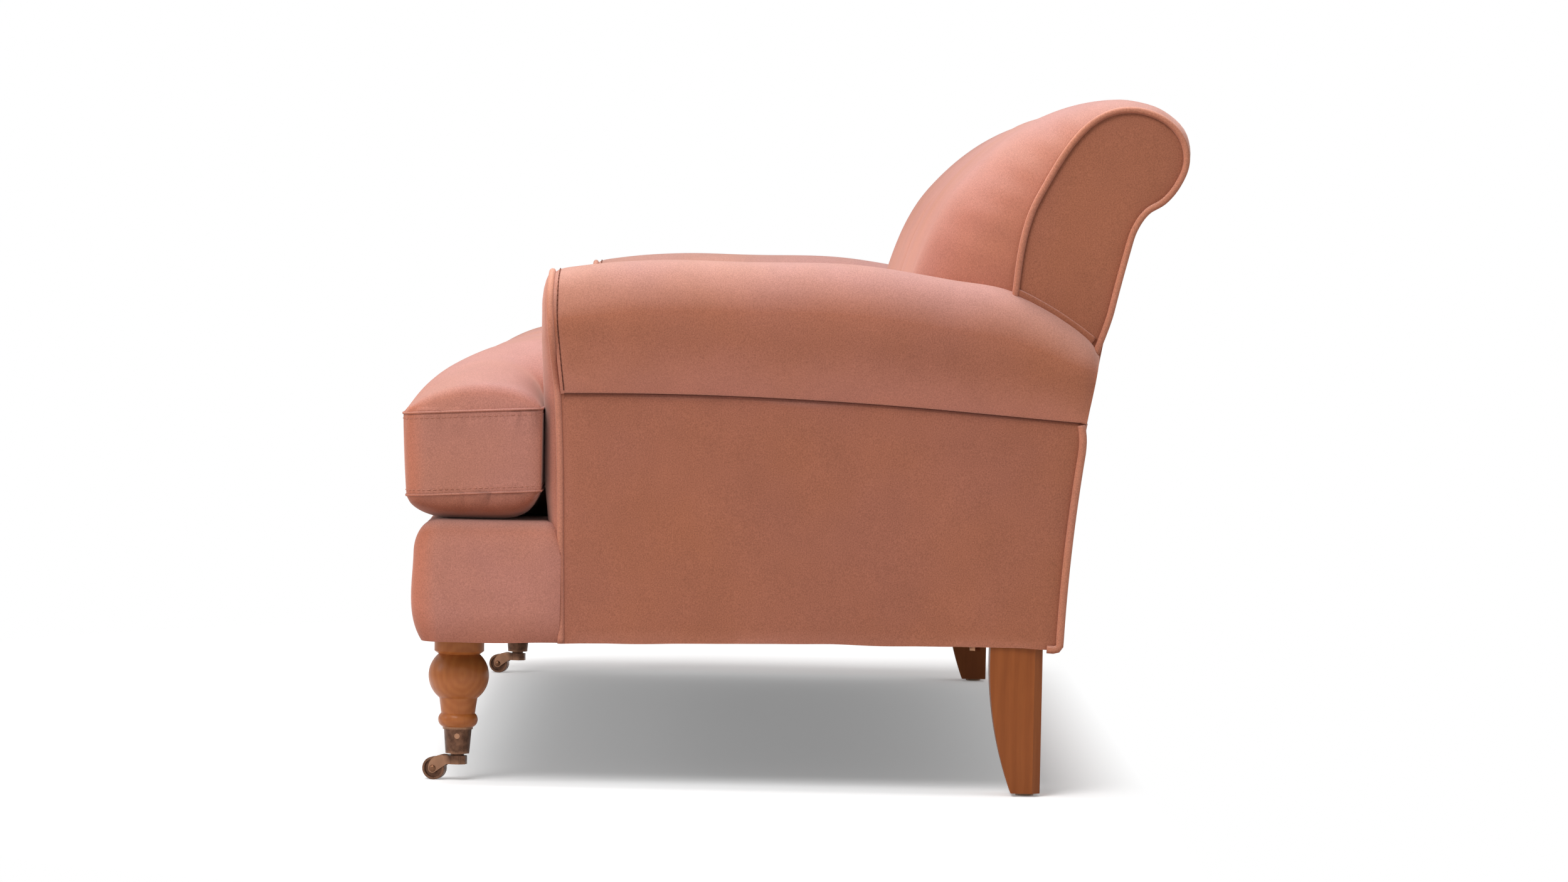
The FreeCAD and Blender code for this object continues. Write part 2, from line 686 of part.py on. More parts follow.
def cushion_form(skin):
    """The left seat cushion: belly, boxing and crown, all drawn in by skin."""
    bottom = DECK_TOP + SOFT_GAP
    low_seam = bottom + CUSHION_BOTTOM_CROWN
    high_seam = low_seam + CUSHION_BOXING
    belly = CUSHION_BELLY_RUN + skin
    half = CUSHION_BELLY_RUN * BELLY_SHARE[1] + skin
    waist = CUSHION_DRAW_IN + skin
    sections = [
        cushion_outline(bottom + skin, belly, belly, belly, belly, belly),
        cushion_outline(mix(bottom, low_seam, BELLY_SHARE[0]), half, half, half, half, half),
        cushion_outline(low_seam, skin, skin, skin, skin, skin),
        cushion_outline(mix(low_seam, high_seam, 0.5), waist, waist, waist, waist, waist),
    ]
    for step in range(CROWN_STEPS + 1):
        turn = math.pi / 2 * step / CROWN_STEPS
        draw = 1 - math.cos(turn)
        z = high_seam + (CUSHION_CROWN - skin) * math.sin(turn)
        front = CROWN_RUN_FRONT * draw + skin
        side = CROWN_RUN_SIDE * draw + skin
        ear_back = CROWN_RUN_EAR_BACK * draw + skin
        ear_side = CROWN_RUN_EAR_SIDE * draw + skin
        sections.append(cushion_outline(z, front, side, ear_back, ear_side, side))
    return Part.makeLoft(sections, True, True)


# Base frame

def base_rails():
    """Front, rear and left side rails of the seat base."""
    front = box(-FRAME_X, FRAME_X, RAIL_FRONT_Y, FRONT_RAIL_BACK_Y, RAIL_BOTTOM, RAIL_TOP)
    rear = box(-FRAME_X, FRAME_X, REAR_RAIL_FRONT_Y, REAR_RAIL_BACK_Y, RAIL_BOTTOM, RAIL_TOP)
    side = box(RAIL_IN_X, FRAME_X, FRONT_RAIL_BACK_Y, REAR_RAIL_FRONT_Y, RAIL_BOTTOM, RAIL_TOP)
    return front, rear, side


def cross_rails():
    """Two boards from the front rail to the rear rail, below the springs."""
    x0 = CROSS_RAIL_X - RAIL_THICK / 2
    x1 = x0 + RAIL_THICK
    z1 = RAIL_BOTTOM + CROSS_RAIL_HEIGHT
    rail = box(x0, x1, FRONT_RAIL_BACK_Y, REAR_RAIL_FRONT_Y, RAIL_BOTTOM, z1)
    return both_sides(rail)


def corner_blocks(holes):
    """Blocks in the four corners that take the leg studs and the bolts."""
    x1 = RAIL_IN_X
    front_y = FRONT_RAIL_BACK_Y
    rear_y = REAR_RAIL_FRONT_Y
    front = box(x1 - FRONT_BLOCK_WIDTH, x1, front_y, front_y + FRONT_BLOCK_DEPTH, RAIL_BOTTOM, BLOCK_TOP)
    rear = box(x1 - REAR_BLOCK_WIDTH, x1, rear_y - REAR_BLOCK_DEPTH, rear_y, RAIL_BOTTOM, BLOCK_TOP)
    blocks = [front.cut(holes), rear.cut(holes)]
    return Part.makeCompound(blocks + [mirrored(block) for block in blocks])


def dust_cover(holes):
    """The cloth under the base, inside the panels' lower edges."""
    x = FRAME_X - DUST_COVER_EDGE
    y0 = RAIL_FRONT_Y + DUST_COVER_EDGE
    y1 = REAR_RAIL_BACK_Y - DUST_COVER_EDGE
    return box(-x, x, y0, y1, BASE_CLEARANCE, RAIL_BOTTOM).cut([holes, mirrored(holes)])


# Springs and deck

def spring_x():
    """Places of the springs across the seat."""
    spacing = ARM_IN / SPRING_PAIRS
    return [spacing * (i + 0.5) for i in range(-SPRING_PAIRS, SPRING_PAIRS)]


def spring(x):
    """One sinuous spring: runs across, joined by half turns, with straight ends on the rails."""
    z = RAIL_TOP + SPRING_WIRE / 2
    r = SPRING_TURN_RADIUS
    half = SPRING_WIDTH / 2 - r
    corner = r * (1 - math.sqrt(0.5))
    turns = int((SPRING_REAR_Y - SPRING_FRONT_Y - 4 * r) / (2 * r))
    y = (SPRING_FRONT_Y + SPRING_REAR_Y) / 2 - turns * r
    edges = [
        line(vec(x, SPRING_FRONT_Y, z), vec(x, y - r, z)),
        arc(vec(x, y - r, z), vec(x + corner, y - corner, z), vec(x + r, y, z)),
    ]
    side = 1.0
    start = vec(x + r, y, z)
    for _ in range(turns):
        reach = vec(x + side * half, y, z)
        bend = vec(x + side * (half + r), y + r, z)
        y += 2 * r
        edges.append(line(start, reach))
        start = vec(reach.x, y, z)
        edges.append(arc(reach, bend, start))
        side = -side
    end = vec(x - side * r, y, z)
    edges += [
        line(start, end),
        arc(end, vec(x - side * corner, y + corner, z), vec(x, y + r, z)),
        line(vec(x, y + r, z), vec(x, SPRING_REAR_Y, z)),
    ]
    return tube(edges, SPRING_WIRE)


def spring_clips():
    """A saddle over each spring end, on the rail."""
    clips = []
    groove = SPRING_WIRE + 2 * FIT_GAP
    for x in spring_x():
        for y in (SPRING_FRONT_Y, SPRING_REAR_Y):
            y0 = y - CLIP_LENGTH / 2
            half = CLIP_WIDTH / 2
            saddle = box(x - half, x + half, y0, y0 + CLIP_LENGTH, RAIL_TOP, RAIL_TOP + CLIP_HEIGHT)
            wire = cylinder(groove, vec(x, y0, RAIL_TOP + SPRING_WIRE / 2), vec(0, CLIP_LENGTH, 0))
            clips.append(saddle.cut(wire))
    return Part.makeCompound(clips)


def front_border():
    """The padded front edge, which runs on in front of the arms."""
    x = SIDE_X + FACING_EDGE
    bulge_z = DECK_TOP - BORDER_BULGE_DROP
    back = FACING_Y - WELT_DIAMETER - SOFT_GAP
    bottom = vec(-x, FRONT_Y + BORDER_BOTTOM_SETBACK, BASE_CLEARANCE)
    bulge = vec(-x, FRONT_Y + BORDER_SETBACK, bulge_z)
    nose = vec(-x, FRONT_Y + BORDER_SETBACK + BORDER_NOSE, DECK_TOP)
    edges = smooth([bottom, bulge, nose], {1: vec(0, 0, 1), 2: vec(0, 1, 0)})
    far_top = vec(-x, back, DECK_TOP)
    far_bottom = vec(-x, back, BASE_CLEARANCE)
    edges += [line(nose, far_top), line(far_top, far_bottom), line(far_bottom, bottom)]
    block = prism(edges, vec(2 * x, 0, 0))
    top_back = RAIL_FRONT_Y + BORDER_TOP_DEPTH
    inside = box(-FRAME_X, FRAME_X, RAIL_FRONT_Y, FACING_Y, BASE_CLEARANCE, DECK_TOP - BORDER_TOP_THICK)
    deck_well = box(-ARM_IN, ARM_IN, top_back, FACING_Y, BASE_CLEARANCE, DECK_TOP)
    return block.cut([inside, deck_well])


def deck_pad():
    """The padded platform on the springs, from the border to the rear rail."""
    y0 = RAIL_FRONT_Y + BORDER_TOP_DEPTH + SOFT_GAP
    x = ARM_IN - SOFT_GAP
    return box(-x, x, y0, back_y(DECK_BOTTOM, POST_INSET) - SOFT_GAP, DECK_BOTTOM, DECK_TOP)


# Legs

def ring_point(size):
    """A point of a turned profile from its height and diameter."""
    return vec(size[1] / 2, 0, size[0])


def turned(edges, x, y):
    """A profile in the XZ plane, turned about Z and set at a place."""
    solid = Part.Face(Part.Wire(edges)).revolve(vec(0, 0, 0), vec(0, 0, 1), 360)
    solid.translate(vec(x, y, 0))
    return solid


def front_leg(cuts):
    """A turned front leg: collar, bulb, cup, ring and the tapered end in the caster's socket."""
    collar = ring_point(LEG_COLLAR)
    neck = ring_point(LEG_NECK)
    bulb_foot = ring_point(LEG_BULB_FOOT)
    cup_foot = ring_point(LEG_CUP_FOOT)
    ring_foot = ring_point(LEG_RING_FOOT)
    top = vec(0, 0, BASE_CLEARANCE)
    foot = vec(0, 0, SPIGOT_FOOT_Z)
    edges = chain([top, vec(collar.x, 0, top.z), collar, neck])
    edges.append(arc(neck, ring_point(LEG_BULB), bulb_foot))
    edges += chain([bulb_foot, ring_point(LEG_CUP_TOP), cup_foot])
    edges.append(arc(cup_foot, ring_point(LEG_RING), ring_foot))
    spigot_top = vec(SPIGOT_TOP / 2, 0, ring_foot.z)
    spigot_foot = vec(SPIGOT_FOOT / 2, 0, foot.z)
    edges += chain([ring_foot, spigot_top, spigot_foot, foot, top])
    return turned(edges, LEG_X, LEG_Y).cut(cuts)


def stud(x, y):
    """A hanger bolt from a leg into its corner block."""
    start = BASE_CLEARANCE - STUD_IN_LEG
    return cylinder(STUD_DIAMETER, vec(x, y, start), vec(0, 0, STUD_IN_LEG + STUD_IN_BLOCK))


def stud_hole(x, y):
    """The hole for a hanger bolt."""
    start = BASE_CLEARANCE - STUD_IN_LEG
    length = STUD_IN_LEG + STUD_IN_BLOCK
    return cylinder(STUD_DIAMETER + 2 * FIT_GAP, vec(x, y, start), vec(0, 0, length))


def rear_leg(cuts):
    """A square sabre leg, hollow in front, with a chamfered rear outer corner."""
    x0 = REAR_LEG_OUT_X - REAR_LEG_THICK
    back = REAR_LEG_BACK_Y
    top_front = vec(x0, back - REAR_LEG_TOP, BASE_CLEARANCE)
    foot_front = vec(x0, back - REAR_LEG_FOOT, GLIDE_THICK)
    top_back = vec(x0, back, BASE_CLEARANCE)
    foot_back = vec(x0, back, GLIDE_THICK)
    bow = (top_front + foot_front) * 0.5 - vec(0, REAR_LEG_BOW, 0)
    edges = [arc(top_front, bow, foot_front)] + chain([foot_front, foot_back, top_back, top_front])
    leg = prism(edges, vec(REAR_LEG_THICK, 0, 0))
    x1 = REAR_LEG_OUT_X
    c = REAR_LEG_CHAMFER
    corner = polygon([vec(x1, back, 0), vec(x1 - c, back, 0), vec(x1, back - c, 0)])
    return leg.cut([prism(corner, vec(0, 0, BASE_CLEARANCE))] + cuts)


def glide():
    """A nail glide under a rear leg."""
    disc = cylinder(GLIDE_DIAMETER, vec(REAR_STUD_X, GLIDE_Y, 0), vec(0, 0, GLIDE_THICK))
    return disc.fuse(glide_nail(GLIDE_NAIL[0]))


def glide_nail(diameter):
    """The nail of a glide, or its hole."""
    return cylinder(diameter, vec(REAR_STUD_X, GLIDE_Y, GLIDE_THICK), vec(0, 0, GLIDE_NAIL[1]))


# Bolts under the rear corners

def bolt_points():
    """Places of the left corner's bolts, on the dust cover's underside."""
    return [vec(SIDE_X - inward, REAR_Y - ahead, BASE_CLEARANCE) for inward, ahead in BOLT_PLACES]


def bolt(place):
    """A hex bolt through its washer and the dust cover into the block."""
    seat = place - vec(0, 0, WASHER_THICK)
    reach = BOLT_ACROSS / math.sqrt(3)
    angles = [math.pi / 3 * i for i in range(6)]
    corners = [seat + vec(reach * math.cos(t), reach * math.sin(t), 0) for t in angles]
    head = prism(polygon(corners), vec(0, 0, -BOLT_HEAD))
    return head.fuse(cylinder(BOLT_DIAMETER, seat, vec(0, 0, BOLT_LENGTH)))


def bolt_hole(place):
    """The hole for a bolt, from its washer to its tip."""
    seat = place - vec(0, 0, WASHER_THICK)
    return cylinder(BOLT_DIAMETER + 2 * FIT_GAP, seat, vec(0, 0, BOLT_LENGTH))


def washer(place):
    """The washer under a bolt's head."""
    disc = cylinder(WASHER_DIAMETER, place - vec(0, 0, WASHER_THICK), vec(0, 0, WASHER_THICK))
    return disc.cut(bolt_hole(place))


# Casters: the swivelling pieces are made round the pivot axis, then turned and set under a front leg

def caster_socket(screws):
    """The brass cup on the leg's tapered end, with a bored floor for the pivot."""
    rim_x = SOCKET_RIM[0] / 2
    under_rim = SOCKET_TOP_Z - SOCKET_RIM[1]
    floor_z = SOCKET_FOOT_Z + SOCKET_FLOOR
    bore = PIVOT_DIAMETER / 2 + BORE_CLEARANCE
    edges = polygon([
        vec(SPIGOT_TOP / 2, 0, SOCKET_TOP_Z),
        vec(rim_x, 0, SOCKET_TOP_Z),
        vec(rim_x, 0, under_rim),
        vec(SOCKET_TOP / 2, 0, under_rim),
        vec(SOCKET_FOOT / 2, 0, SOCKET_FOOT_Z),
        vec(bore, 0, SOCKET_FOOT_Z),
        vec(bore, 0, floor_z),
        vec(SPIGOT_FOOT / 2, 0, floor_z),
        vec(SPIGOT_FOOT / 2, 0, SPIGOT_FOOT_Z),
    ])
    return turned(edges, LEG_X, LEG_Y).cut(screws)


def caster_screws():
    """Two pan-head screws through the socket into the leg, on its outer and inner sides."""
    z = SOCKET_TOP_Z - SCREW_DROP
    low_edge = z - SCREW_HEAD[0] / 2
    share = (low_edge - SOCKET_FOOT_Z) / (SOCKET_HEIGHT - SOCKET_RIM[1])
    seat = mix(SOCKET_FOOT, SOCKET_TOP, share) / 2
    screws = []
    for side in (1, -1):
        place = vec(LEG_X + side * seat, LEG_Y, z)
        head = cylinder(SCREW_HEAD[0], place, vec(side * SCREW_HEAD[1], 0, 0))
        shank = cylinder(SCREW_SHANK[0], place, vec(-side * SCREW_SHANK[1], 0, 0))
        screws.append(head.fuse(shank))
    return screws


def placed(shape, side):
    """A caster piece, turned as it stands and set under a front leg."""
    shape.rotate(vec(0, 0, 0), vec(0, 0, 1), -CASTER_TURN)
    shape.translate(vec(side * LEG_X, LEG_Y, 0))
    return shape


def caster_horn():
    """The swivelling horn: riveted pivot, eight-sided boss and two cheeks that hold the axle."""
    reach = HORN_ACROSS / 2 / math.cos(math.pi / 8)
    angles = [math.pi / 8 + math.pi / 4 * i for i in range(8)]
    ring = [vec(reach * math.cos(t), reach * math.sin(t), HORN_BOTTOM) for t in angles]
    horn = prism(polygon(ring), vec(0, 0, HORN_TOP - HORN_BOTTOM))
    collar_top = SOCKET_FOOT_Z - SOFT_GAP
    head_z = SOCKET_FOOT_Z + SOCKET_FLOOR + SOFT_GAP
    collar = cylinder(PIVOT_COLLAR[0], vec(0, 0, HORN_TOP), vec(0, 0, collar_top - HORN_TOP))
    pin = cylinder(PIVOT_DIAMETER, vec(0, 0, collar_top), vec(0, 0, head_z - collar_top))
    head = cylinder(PIVOT_HEAD[0], vec(0, 0, head_z), vec(0, 0, PIVOT_HEAD[1]))
    eye_y = -CASTER_TRAIL
    eye_z = WHEEL_RADIUS
    root_y = HORN_ACROSS / 4
    lean = math.sqrt(0.5) * CHEEK_EYE
    front = vec(0, eye_y - CHEEK_EYE, eye_z)
    shoulder = vec(0, eye_y / 2, HORN_TOP)
    bend = vec(0, mix(front.y, shoulder.y, CHEEK_BEND[0]), mix(eye_z, HORN_TOP, CHEEK_BEND[1]))
    heel = vec(0, eye_y + lean, eye_z - lean)
    elbow = vec(0, -HORN_ACROSS / 2, HORN_BOTTOM)
    root_low = vec(0, root_y, HORN_BOTTOM)
    root_high = vec(0, root_y, HORN_TOP)
    edges = [
        line(root_high, shoulder),
        arc(shoulder, bend, front),
        arc(front, vec(0, eye_y, eye_z - CHEEK_EYE), heel),
        line(heel, elbow),
        line(elbow, root_low),
        line(root_low, root_high),
    ]
    cheeks = []
    for x in (CHEEK_IN_X, -CHEEK_OUT_X):
        cheek = prism(edges, vec(CHEEK_THICK, 0, 0))
        cheek.translate(vec(x, 0, 0))
        cheeks.append(cheek)
    eye_start = vec(-CHEEK_OUT_X, eye_y, eye_z)
    eye = cylinder(AXLE_DIAMETER + 2 * FIT_GAP, eye_start, vec(2 * CHEEK_OUT_X, 0, 0))
    return horn.fuse([collar, pin, head] + cheeks).cut(eye).removeSplitter()


def lathe_x(edges):
    """A profile turned about the axle's line."""
    return Part.Face(Part.Wire(edges)).revolve(vec(0, -CASTER_TRAIL, WHEEL_RADIUS), vec(1, 0, 0), 360)


def axle_point(x, radius):
    """A point at a radius above the axle's line."""
    return vec(x, -CASTER_TRAIL, WHEEL_RADIUS + radius)


def caster_axle():
    """The axle pin with a domed head at each end."""
    face = CHEEK_OUT_X + FIT_GAP
    r = AXLE_DIAMETER / 2
    head_r = AXLE_HEAD[0] / 2
    tip = face + AXLE_HEAD[1]
    swell = axle_point(mix(face, tip, DOME_SWELL[0]), head_r * DOME_SWELL[1])
    far_swell = axle_point(-swell.x, head_r * DOME_SWELL[1])
    flat_r = AXLE_TIP / 2
    edges = chain([
        axle_point(-tip, flat_r),
        axle_point(-tip, 0),
        axle_point(tip, 0),
        axle_point(tip, flat_r),
    ])
    edges.append(arc(axle_point(tip, flat_r), swell, axle_point(face, head_r)))
    edges += chain([
        axle_point(face, head_r),
        axle_point(face, r),
        axle_point(-face, r),
        axle_point(-face, head_r),
    ])
    edges.append(arc(axle_point(-face, head_r), far_swell, axle_point(-tip, flat_r)))
    return lathe_x(edges)


def caster_wheel():
    """The wheel: rounded tread, dished sides and a bored hub."""
    bore = AXLE_DIAMETER / 2 + BORE_CLEARANCE
    half = WHEEL_WIDTH / 2
    dish = half - WHEEL_DISH
    hub = WHEEL_HUB / 2
    rim = WHEEL_RADIUS - WHEEL_RIM
    edge = WHEEL_RIM / 4
    outline = [
        (bore, half), (hub, half), (hub, dish), (rim, dish), (rim, half),
        (WHEEL_RADIUS - edge, half), (WHEEL_RADIUS, half - edge),
    ]
    points = [axle_point(x, r) for r, x in outline] + [axle_point(-x, r) for r, x in reversed(outline)]
    return lathe_x(polygon(points))


def build():
    """Make every piece."""
    front_rail, rear_rail, side_rail = base_rails()
    add("front_rail", front_rail)
    add("rear_rail", rear_rail)
    add_pair("side_rail", side_rail)
    add("cross_rails", cross_rails())
    front_hole = stud_hole(LEG_X, LEG_Y)
    rear_hole = stud_hole(REAR_STUD_X, REAR_STUD_Y)
    bolt_holes = [bolt_hole(place) for place in bolt_points()]
    holes = Part.makeCompound([front_hole, rear_hole] + bolt_holes)
    add("corner_blocks", corner_blocks(holes))
    add("dust_cover", dust_cover(holes))
    add("seat_springs", Part.makeCompound([spring(x) for x in spring_x()]))
    add("spring_clips", spring_clips())
    add("front_border", front_border())
    add("deck_pad", deck_pad())

    post = back_post(POST_X - POST_THICK, POST_X, BLOCK_TOP).cut(rear_rail)
    centre_post = back_post(-POST_THICK / 2, POST_THICK / 2, RAIL_TOP)
    top_rail = back_top_rail()
    arm_rail = arm_top_rail().cut(post)
    arm_post = arm_front_post()
    add_pair("back_post", post)
    add("back_centre_post", centre_post)
    add("back_top_rail", top_rail)
    add("back_lower_rail", back_lower_rail([post, mirrored(post), centre_post]))
    add("back_webbing", back_webbing([arm_rail, mirrored(arm_rail)]))
    add_pair("arm_top_rail", arm_rail)
    add_pair("arm_front_post", arm_post)
    add("outside_back_panel", outside_back_panel())

    arm = arm_form()
    back_pad = back_pad_form()
    behind_back = back_slab(ARM_IN, ARM_OUT * 2, -REAR_Y, BACK_PANEL_THICK, BASE_CLEARANCE, NECK_Z)
    add_pair("inside_back_pad", back_pad.cut([post, centre_post, top_rail, arm_rail]))
    back_bay = back_slab(0.0, PAD_END_X, 0.0, PAD_INSET, BASE_CLEARANCE, NECK_Z)
    add_pair("arm_roll", arm.cut([back_pad, back_bay, arm_rail, arm_post, behind_back]))
    add_pair("outside_arm_panel", outside_arm_panel(behind_back))
    add_pair("arm_facing", arm_facing())
    add_pair("arm_front_welt", arm_front_welt())
    add_pair("back_end_panel", back_end_panel(arm))
    add_pair("back_end_welt", back_end_welt(arm))

    screws = caster_screws()
    add_pair("front_leg", front_leg([front_hole] + screws))
    add_pair("caster_socket", caster_socket(screws))
    add("caster_screws", both_sides(Part.makeCompound(screws)))
    add_pair("rear_leg", rear_leg([rear_hole, glide_nail(GLIDE_NAIL[0] + 2 * FIT_GAP)]))
    add("rear_glides", both_sides(glide()))
    studs = Part.makeCompound([stud(LEG_X, LEG_Y), stud(REAR_STUD_X, REAR_STUD_Y)])
    add("leg_studs", both_sides(studs))
    add("frame_bolts", both_sides(Part.makeCompound([bolt(place) for place in bolt_points()])))
    add("bolt_washers", both_sides(Part.makeCompound([washer(place) for place in bolt_points()])))
    for side, name in ((1, "_left"), (-1, "_right")):
        add("caster_horn" + name, placed(caster_horn(), side))
        add("caster_axle" + name, placed(caster_axle(), side))
        add("caster_wheel" + name, placed(caster_wheel(), side))

    core = cushion_form(COVER_THICK + FIT_GAP)
    cover = cushion_form(0.0).cut(cushion_form(COVER_THICK))
    add_pair("seat_cushion_core", core)
    add_pair("seat_cushion_cover", cover)


build()
os.makedirs("parts", exist_ok=True)
for node, shape in PARTS.items():
    print(node, shape.isValid(), len(shape.Solids), round(shape.Volume / 1000, 1), "cm3")
    shape.exportStep("parts/" + node + ".step")
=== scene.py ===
"""Lawson sofa in rose velvet: the look of the upholstery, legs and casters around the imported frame.

Metres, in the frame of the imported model: +Z up, the front faces -Y, left is +X.
"""
import bmesh
import bpy
import math
import numpy as np
from mathutils import Matrix, Vector
from mathutils.bvhtree import BVHTree


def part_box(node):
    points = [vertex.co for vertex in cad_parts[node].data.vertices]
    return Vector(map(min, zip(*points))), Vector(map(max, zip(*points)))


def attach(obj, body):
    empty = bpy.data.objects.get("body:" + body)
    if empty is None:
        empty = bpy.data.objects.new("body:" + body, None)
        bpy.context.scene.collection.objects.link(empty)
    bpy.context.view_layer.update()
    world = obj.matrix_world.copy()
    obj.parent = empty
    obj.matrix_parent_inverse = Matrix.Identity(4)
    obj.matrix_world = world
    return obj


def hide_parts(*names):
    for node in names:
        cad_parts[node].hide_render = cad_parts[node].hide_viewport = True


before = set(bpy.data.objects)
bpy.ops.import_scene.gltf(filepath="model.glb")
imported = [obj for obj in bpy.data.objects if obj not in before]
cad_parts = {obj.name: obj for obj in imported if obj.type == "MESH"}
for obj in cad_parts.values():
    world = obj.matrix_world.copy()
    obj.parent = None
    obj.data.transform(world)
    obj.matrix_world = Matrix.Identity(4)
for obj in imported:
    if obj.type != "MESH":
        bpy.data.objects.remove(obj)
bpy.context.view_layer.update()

# Planes of the frame
ARM_OUT = 1.065
ARM_IN = 0.880
SIDE_X = 1.036
FRAME_X = 1.028
BACK_X = 1.000
PAD_END_X = 0.988
FRONT_Y = -0.490
REAR_Y = 0.490
TOP_Z = 0.878
BASE_Z = 0.187
RAIL_TOP = 0.2995
DECK_Z = 0.33335
ARM_FRONT_Y = -0.290
NECK_Y = 0.412
NECK_Z = 0.688
SOFT_GAP = 0.0003
WELT_R = 0.0042
WELT_SIDES = 12

# Arms
ARM_HEIGHT = 0.665
CREST_X = ARM_OUT - 0.080
ROLL_OVERHANG = 0.029
ROLL_TURNS = {0: (0, 1), 1: (1, 0), 2: (0, -1), 3: (-0.8, -0.6)}
SEAM_TUCK = 0.0012
ROLL_WAIST = 0.45
INNER_WALL = 0.032
SEAM = ((-0.290, 0.494), (-0.134, 0.4955), (0.074, 0.4893), (0.358, 0.470), (0.490, 0.461))
SEAM_FRONT_Z = 0.494
SEAM_REAR_Z = 0.470
CREST = ((-0.290, 0.650), (-0.245, 0.658), (-0.180, 0.663), (-0.100, 0.665), (0.000, 0.664), (0.110, 0.657),
         (0.190, 0.648), (0.264, 0.635), (0.309, 0.614), (0.349, 0.589), (0.395, 0.553))

# How far the covers hang below the base, by place along Y
HEM_Y = (-0.47, -0.29, 0.05)
HEM_DROP = (0.0065, 0.0060, 0.0)

# The piping's place along Y on the arm's front, by height
FRONT_LEAN = ((0.187, -0.2885), (0.300, -0.2912), (0.438, -0.2950), (0.500, -0.2990), (0.548, -0.3045),
              (0.597, -0.3092), (0.650, -0.3088))

# Back, as distances in front of the rear plane and below the top
BACK_CROWN = ((0.360, 0.288), (0.285, 0.106), (0.087, 0.0), (-0.003, 0.066))
BACK_ENDS = ((0.221, 0.278), (0.190, 0.125), (0.078, 0.0145), (0.0065, 0.075))
UNDER_INSET = (0.004, 0.003)
UNDER_FADE = (1.0, 1.0, 0.6, 0.0)
BACK_UNDER = ((0.013, 0.110), (0.031, 0.132), (0.052, 0.143), (0.069, 0.162))
BACK_TURNS = {0: (0, 1), 3: (1, 0), 4: (0, -1), 9: (-0.25, -0.968)}
CROWN_SEAT = 0.382
ENDS_SEAT = 0.228
BASE_RUN = 0.153
BACK_BOW = 0.014
SEAM_DIP = 0.03
SEAM_RUN = 0.160
END_RUN = 0.160
PAD_INSET = 0.069

# Seat cushions
CUSHION_X = (0.0015, 0.876, 1.040)
CUSHION_Y = (-0.4932, -0.3160, 0.099)
CUSHION_Z = 0.33365
LOW_SEAM_Z = CUSHION_Z + 0.0335
TOP_SEAM_Z = LOW_SEAM_Z + 0.103
CROWN_RISE = 0.086
CELL = 0.012
SEAM_STEPS = (0.004, 0.008, 0.017)
SIDE_RUN = 0.018
SIDE_SHARE = 0.46
LOW_BACK = 0.0055
LOW_RUN = 0.12
SIM_FRAMES = 20
SIM_CAP = 0.005
SIM_SETTINGS = {
    "quality": 6, "mass": 0.35, "tension_stiffness": 30, "compression_stiffness": 18, "shear_stiffness": 8,
    "bending_stiffness": 1.2, "air_damping": 4, "use_pressure": True, "uniform_pressure_force": 4.0,
    "vertex_group_mass": "held", "vertex_group_shrink": "full", "shrink_min": 0.0, "shrink_max": -0.05,
}
FULL_BAND = (0.0005, 0.04)
TILT_Y = (-0.490, -0.316)
TILT_RISE = (-0.0050, 0.0045)
START_INSET = 0.001
START_CROWN = 0.97
BOXING_CAP = 0.003
BOXING_ROWS = 8
BELLY_CAP = 0.010
TOP_RUNS = (0.200, 0.15, 0.20, 0.15, 0.13)
BELLY_RUNS = (0.055, 0.05, 0.05, 0.05, 0.05)
EASE_POWERS = (1.9, 0.55)
CORNER_RADII = (0.026, 0.032, 0.012, 0.026, 0.026)
INSET_RUNS = (0.3, 0.2)
REST_BAND = 0.001
BACK_ROOM = 0.004
NOTCH_ROOM = 0.003
NOTCH_START = 0.002
NOTCH_REACH = 0.03
EAR_GAP = 0.0008
EAR_START = 0.0001
SIDE_ROOM = 0.004
FRONT_ROOM = 0.003
SEAM_CREASE = 0.55
SEAM_POINTS = 460
LIP_R = 0.0017
STITCH_PLACE = 0.52


# Curves

def mix(a, b, share):
    """A value between two others."""
    return a + (b - a) * share


def spline(points, known=None, steps=14):
    """Points on a smooth curve through the given ones. Known directions go by the point's number."""
    pts = np.array(points, dtype=float)
    chords = pts[1:] - pts[:-1]
    lengths = np.linalg.norm(chords, axis=1)
    turns = np.zeros_like(pts)
    for i in range(1, len(pts) - 1):
        turn = chords[i - 1] / lengths[i - 1] ** 2 + chords[i] / lengths[i] ** 2
        turns[i] = turn / np.linalg.norm(turn)
    first = chords[0] / lengths[0]
    last = chords[-1] / lengths[-1]
    turns[0] = first
    turns[-1] = last
    if len(pts) > 2:
        turns[0] = 2 * first * first.dot(turns[1]) - turns[1]
        turns[-1] = 2 * last * last.dot(turns[-2]) - turns[-2]
    for number, direction in (known or {}).items():
        turns[number] = np.array(direction, dtype=float)
    out = [pts[0]]
    for i in range(len(chords)):
        cosine = max(-1.0, min(1.0, turns[i].dot(turns[i + 1])))
        reach = lengths[i] * 2 / (1 + math.cos(math.acos(cosine) / 2))
        for k in range(1, steps + 1):
            t = k / steps
            a = 2 * t ** 3 - 3 * t ** 2 + 1
            b = t ** 3 - 2 * t ** 2 + t
            c = 3 * t ** 2 - 2 * t ** 3
            d = t ** 3 - t ** 2
            out.append(a * pts[i] + b * reach * turns[i] + c * pts[i + 1] + d * reach * turns[i + 1])
    return np.array(out)


def distances(points):
    """How far along a run of points each of them is."""
    return np.concatenate([[0], np.cumsum(np.linalg.norm(points[1:] - points[:-1], axis=1))])


def taken_at(want, along, points):
    """Points, or directions that go with them, at the wanted distances along a run."""
    return np.stack([np.interp(want, along, column) for column in points.T], axis=1)


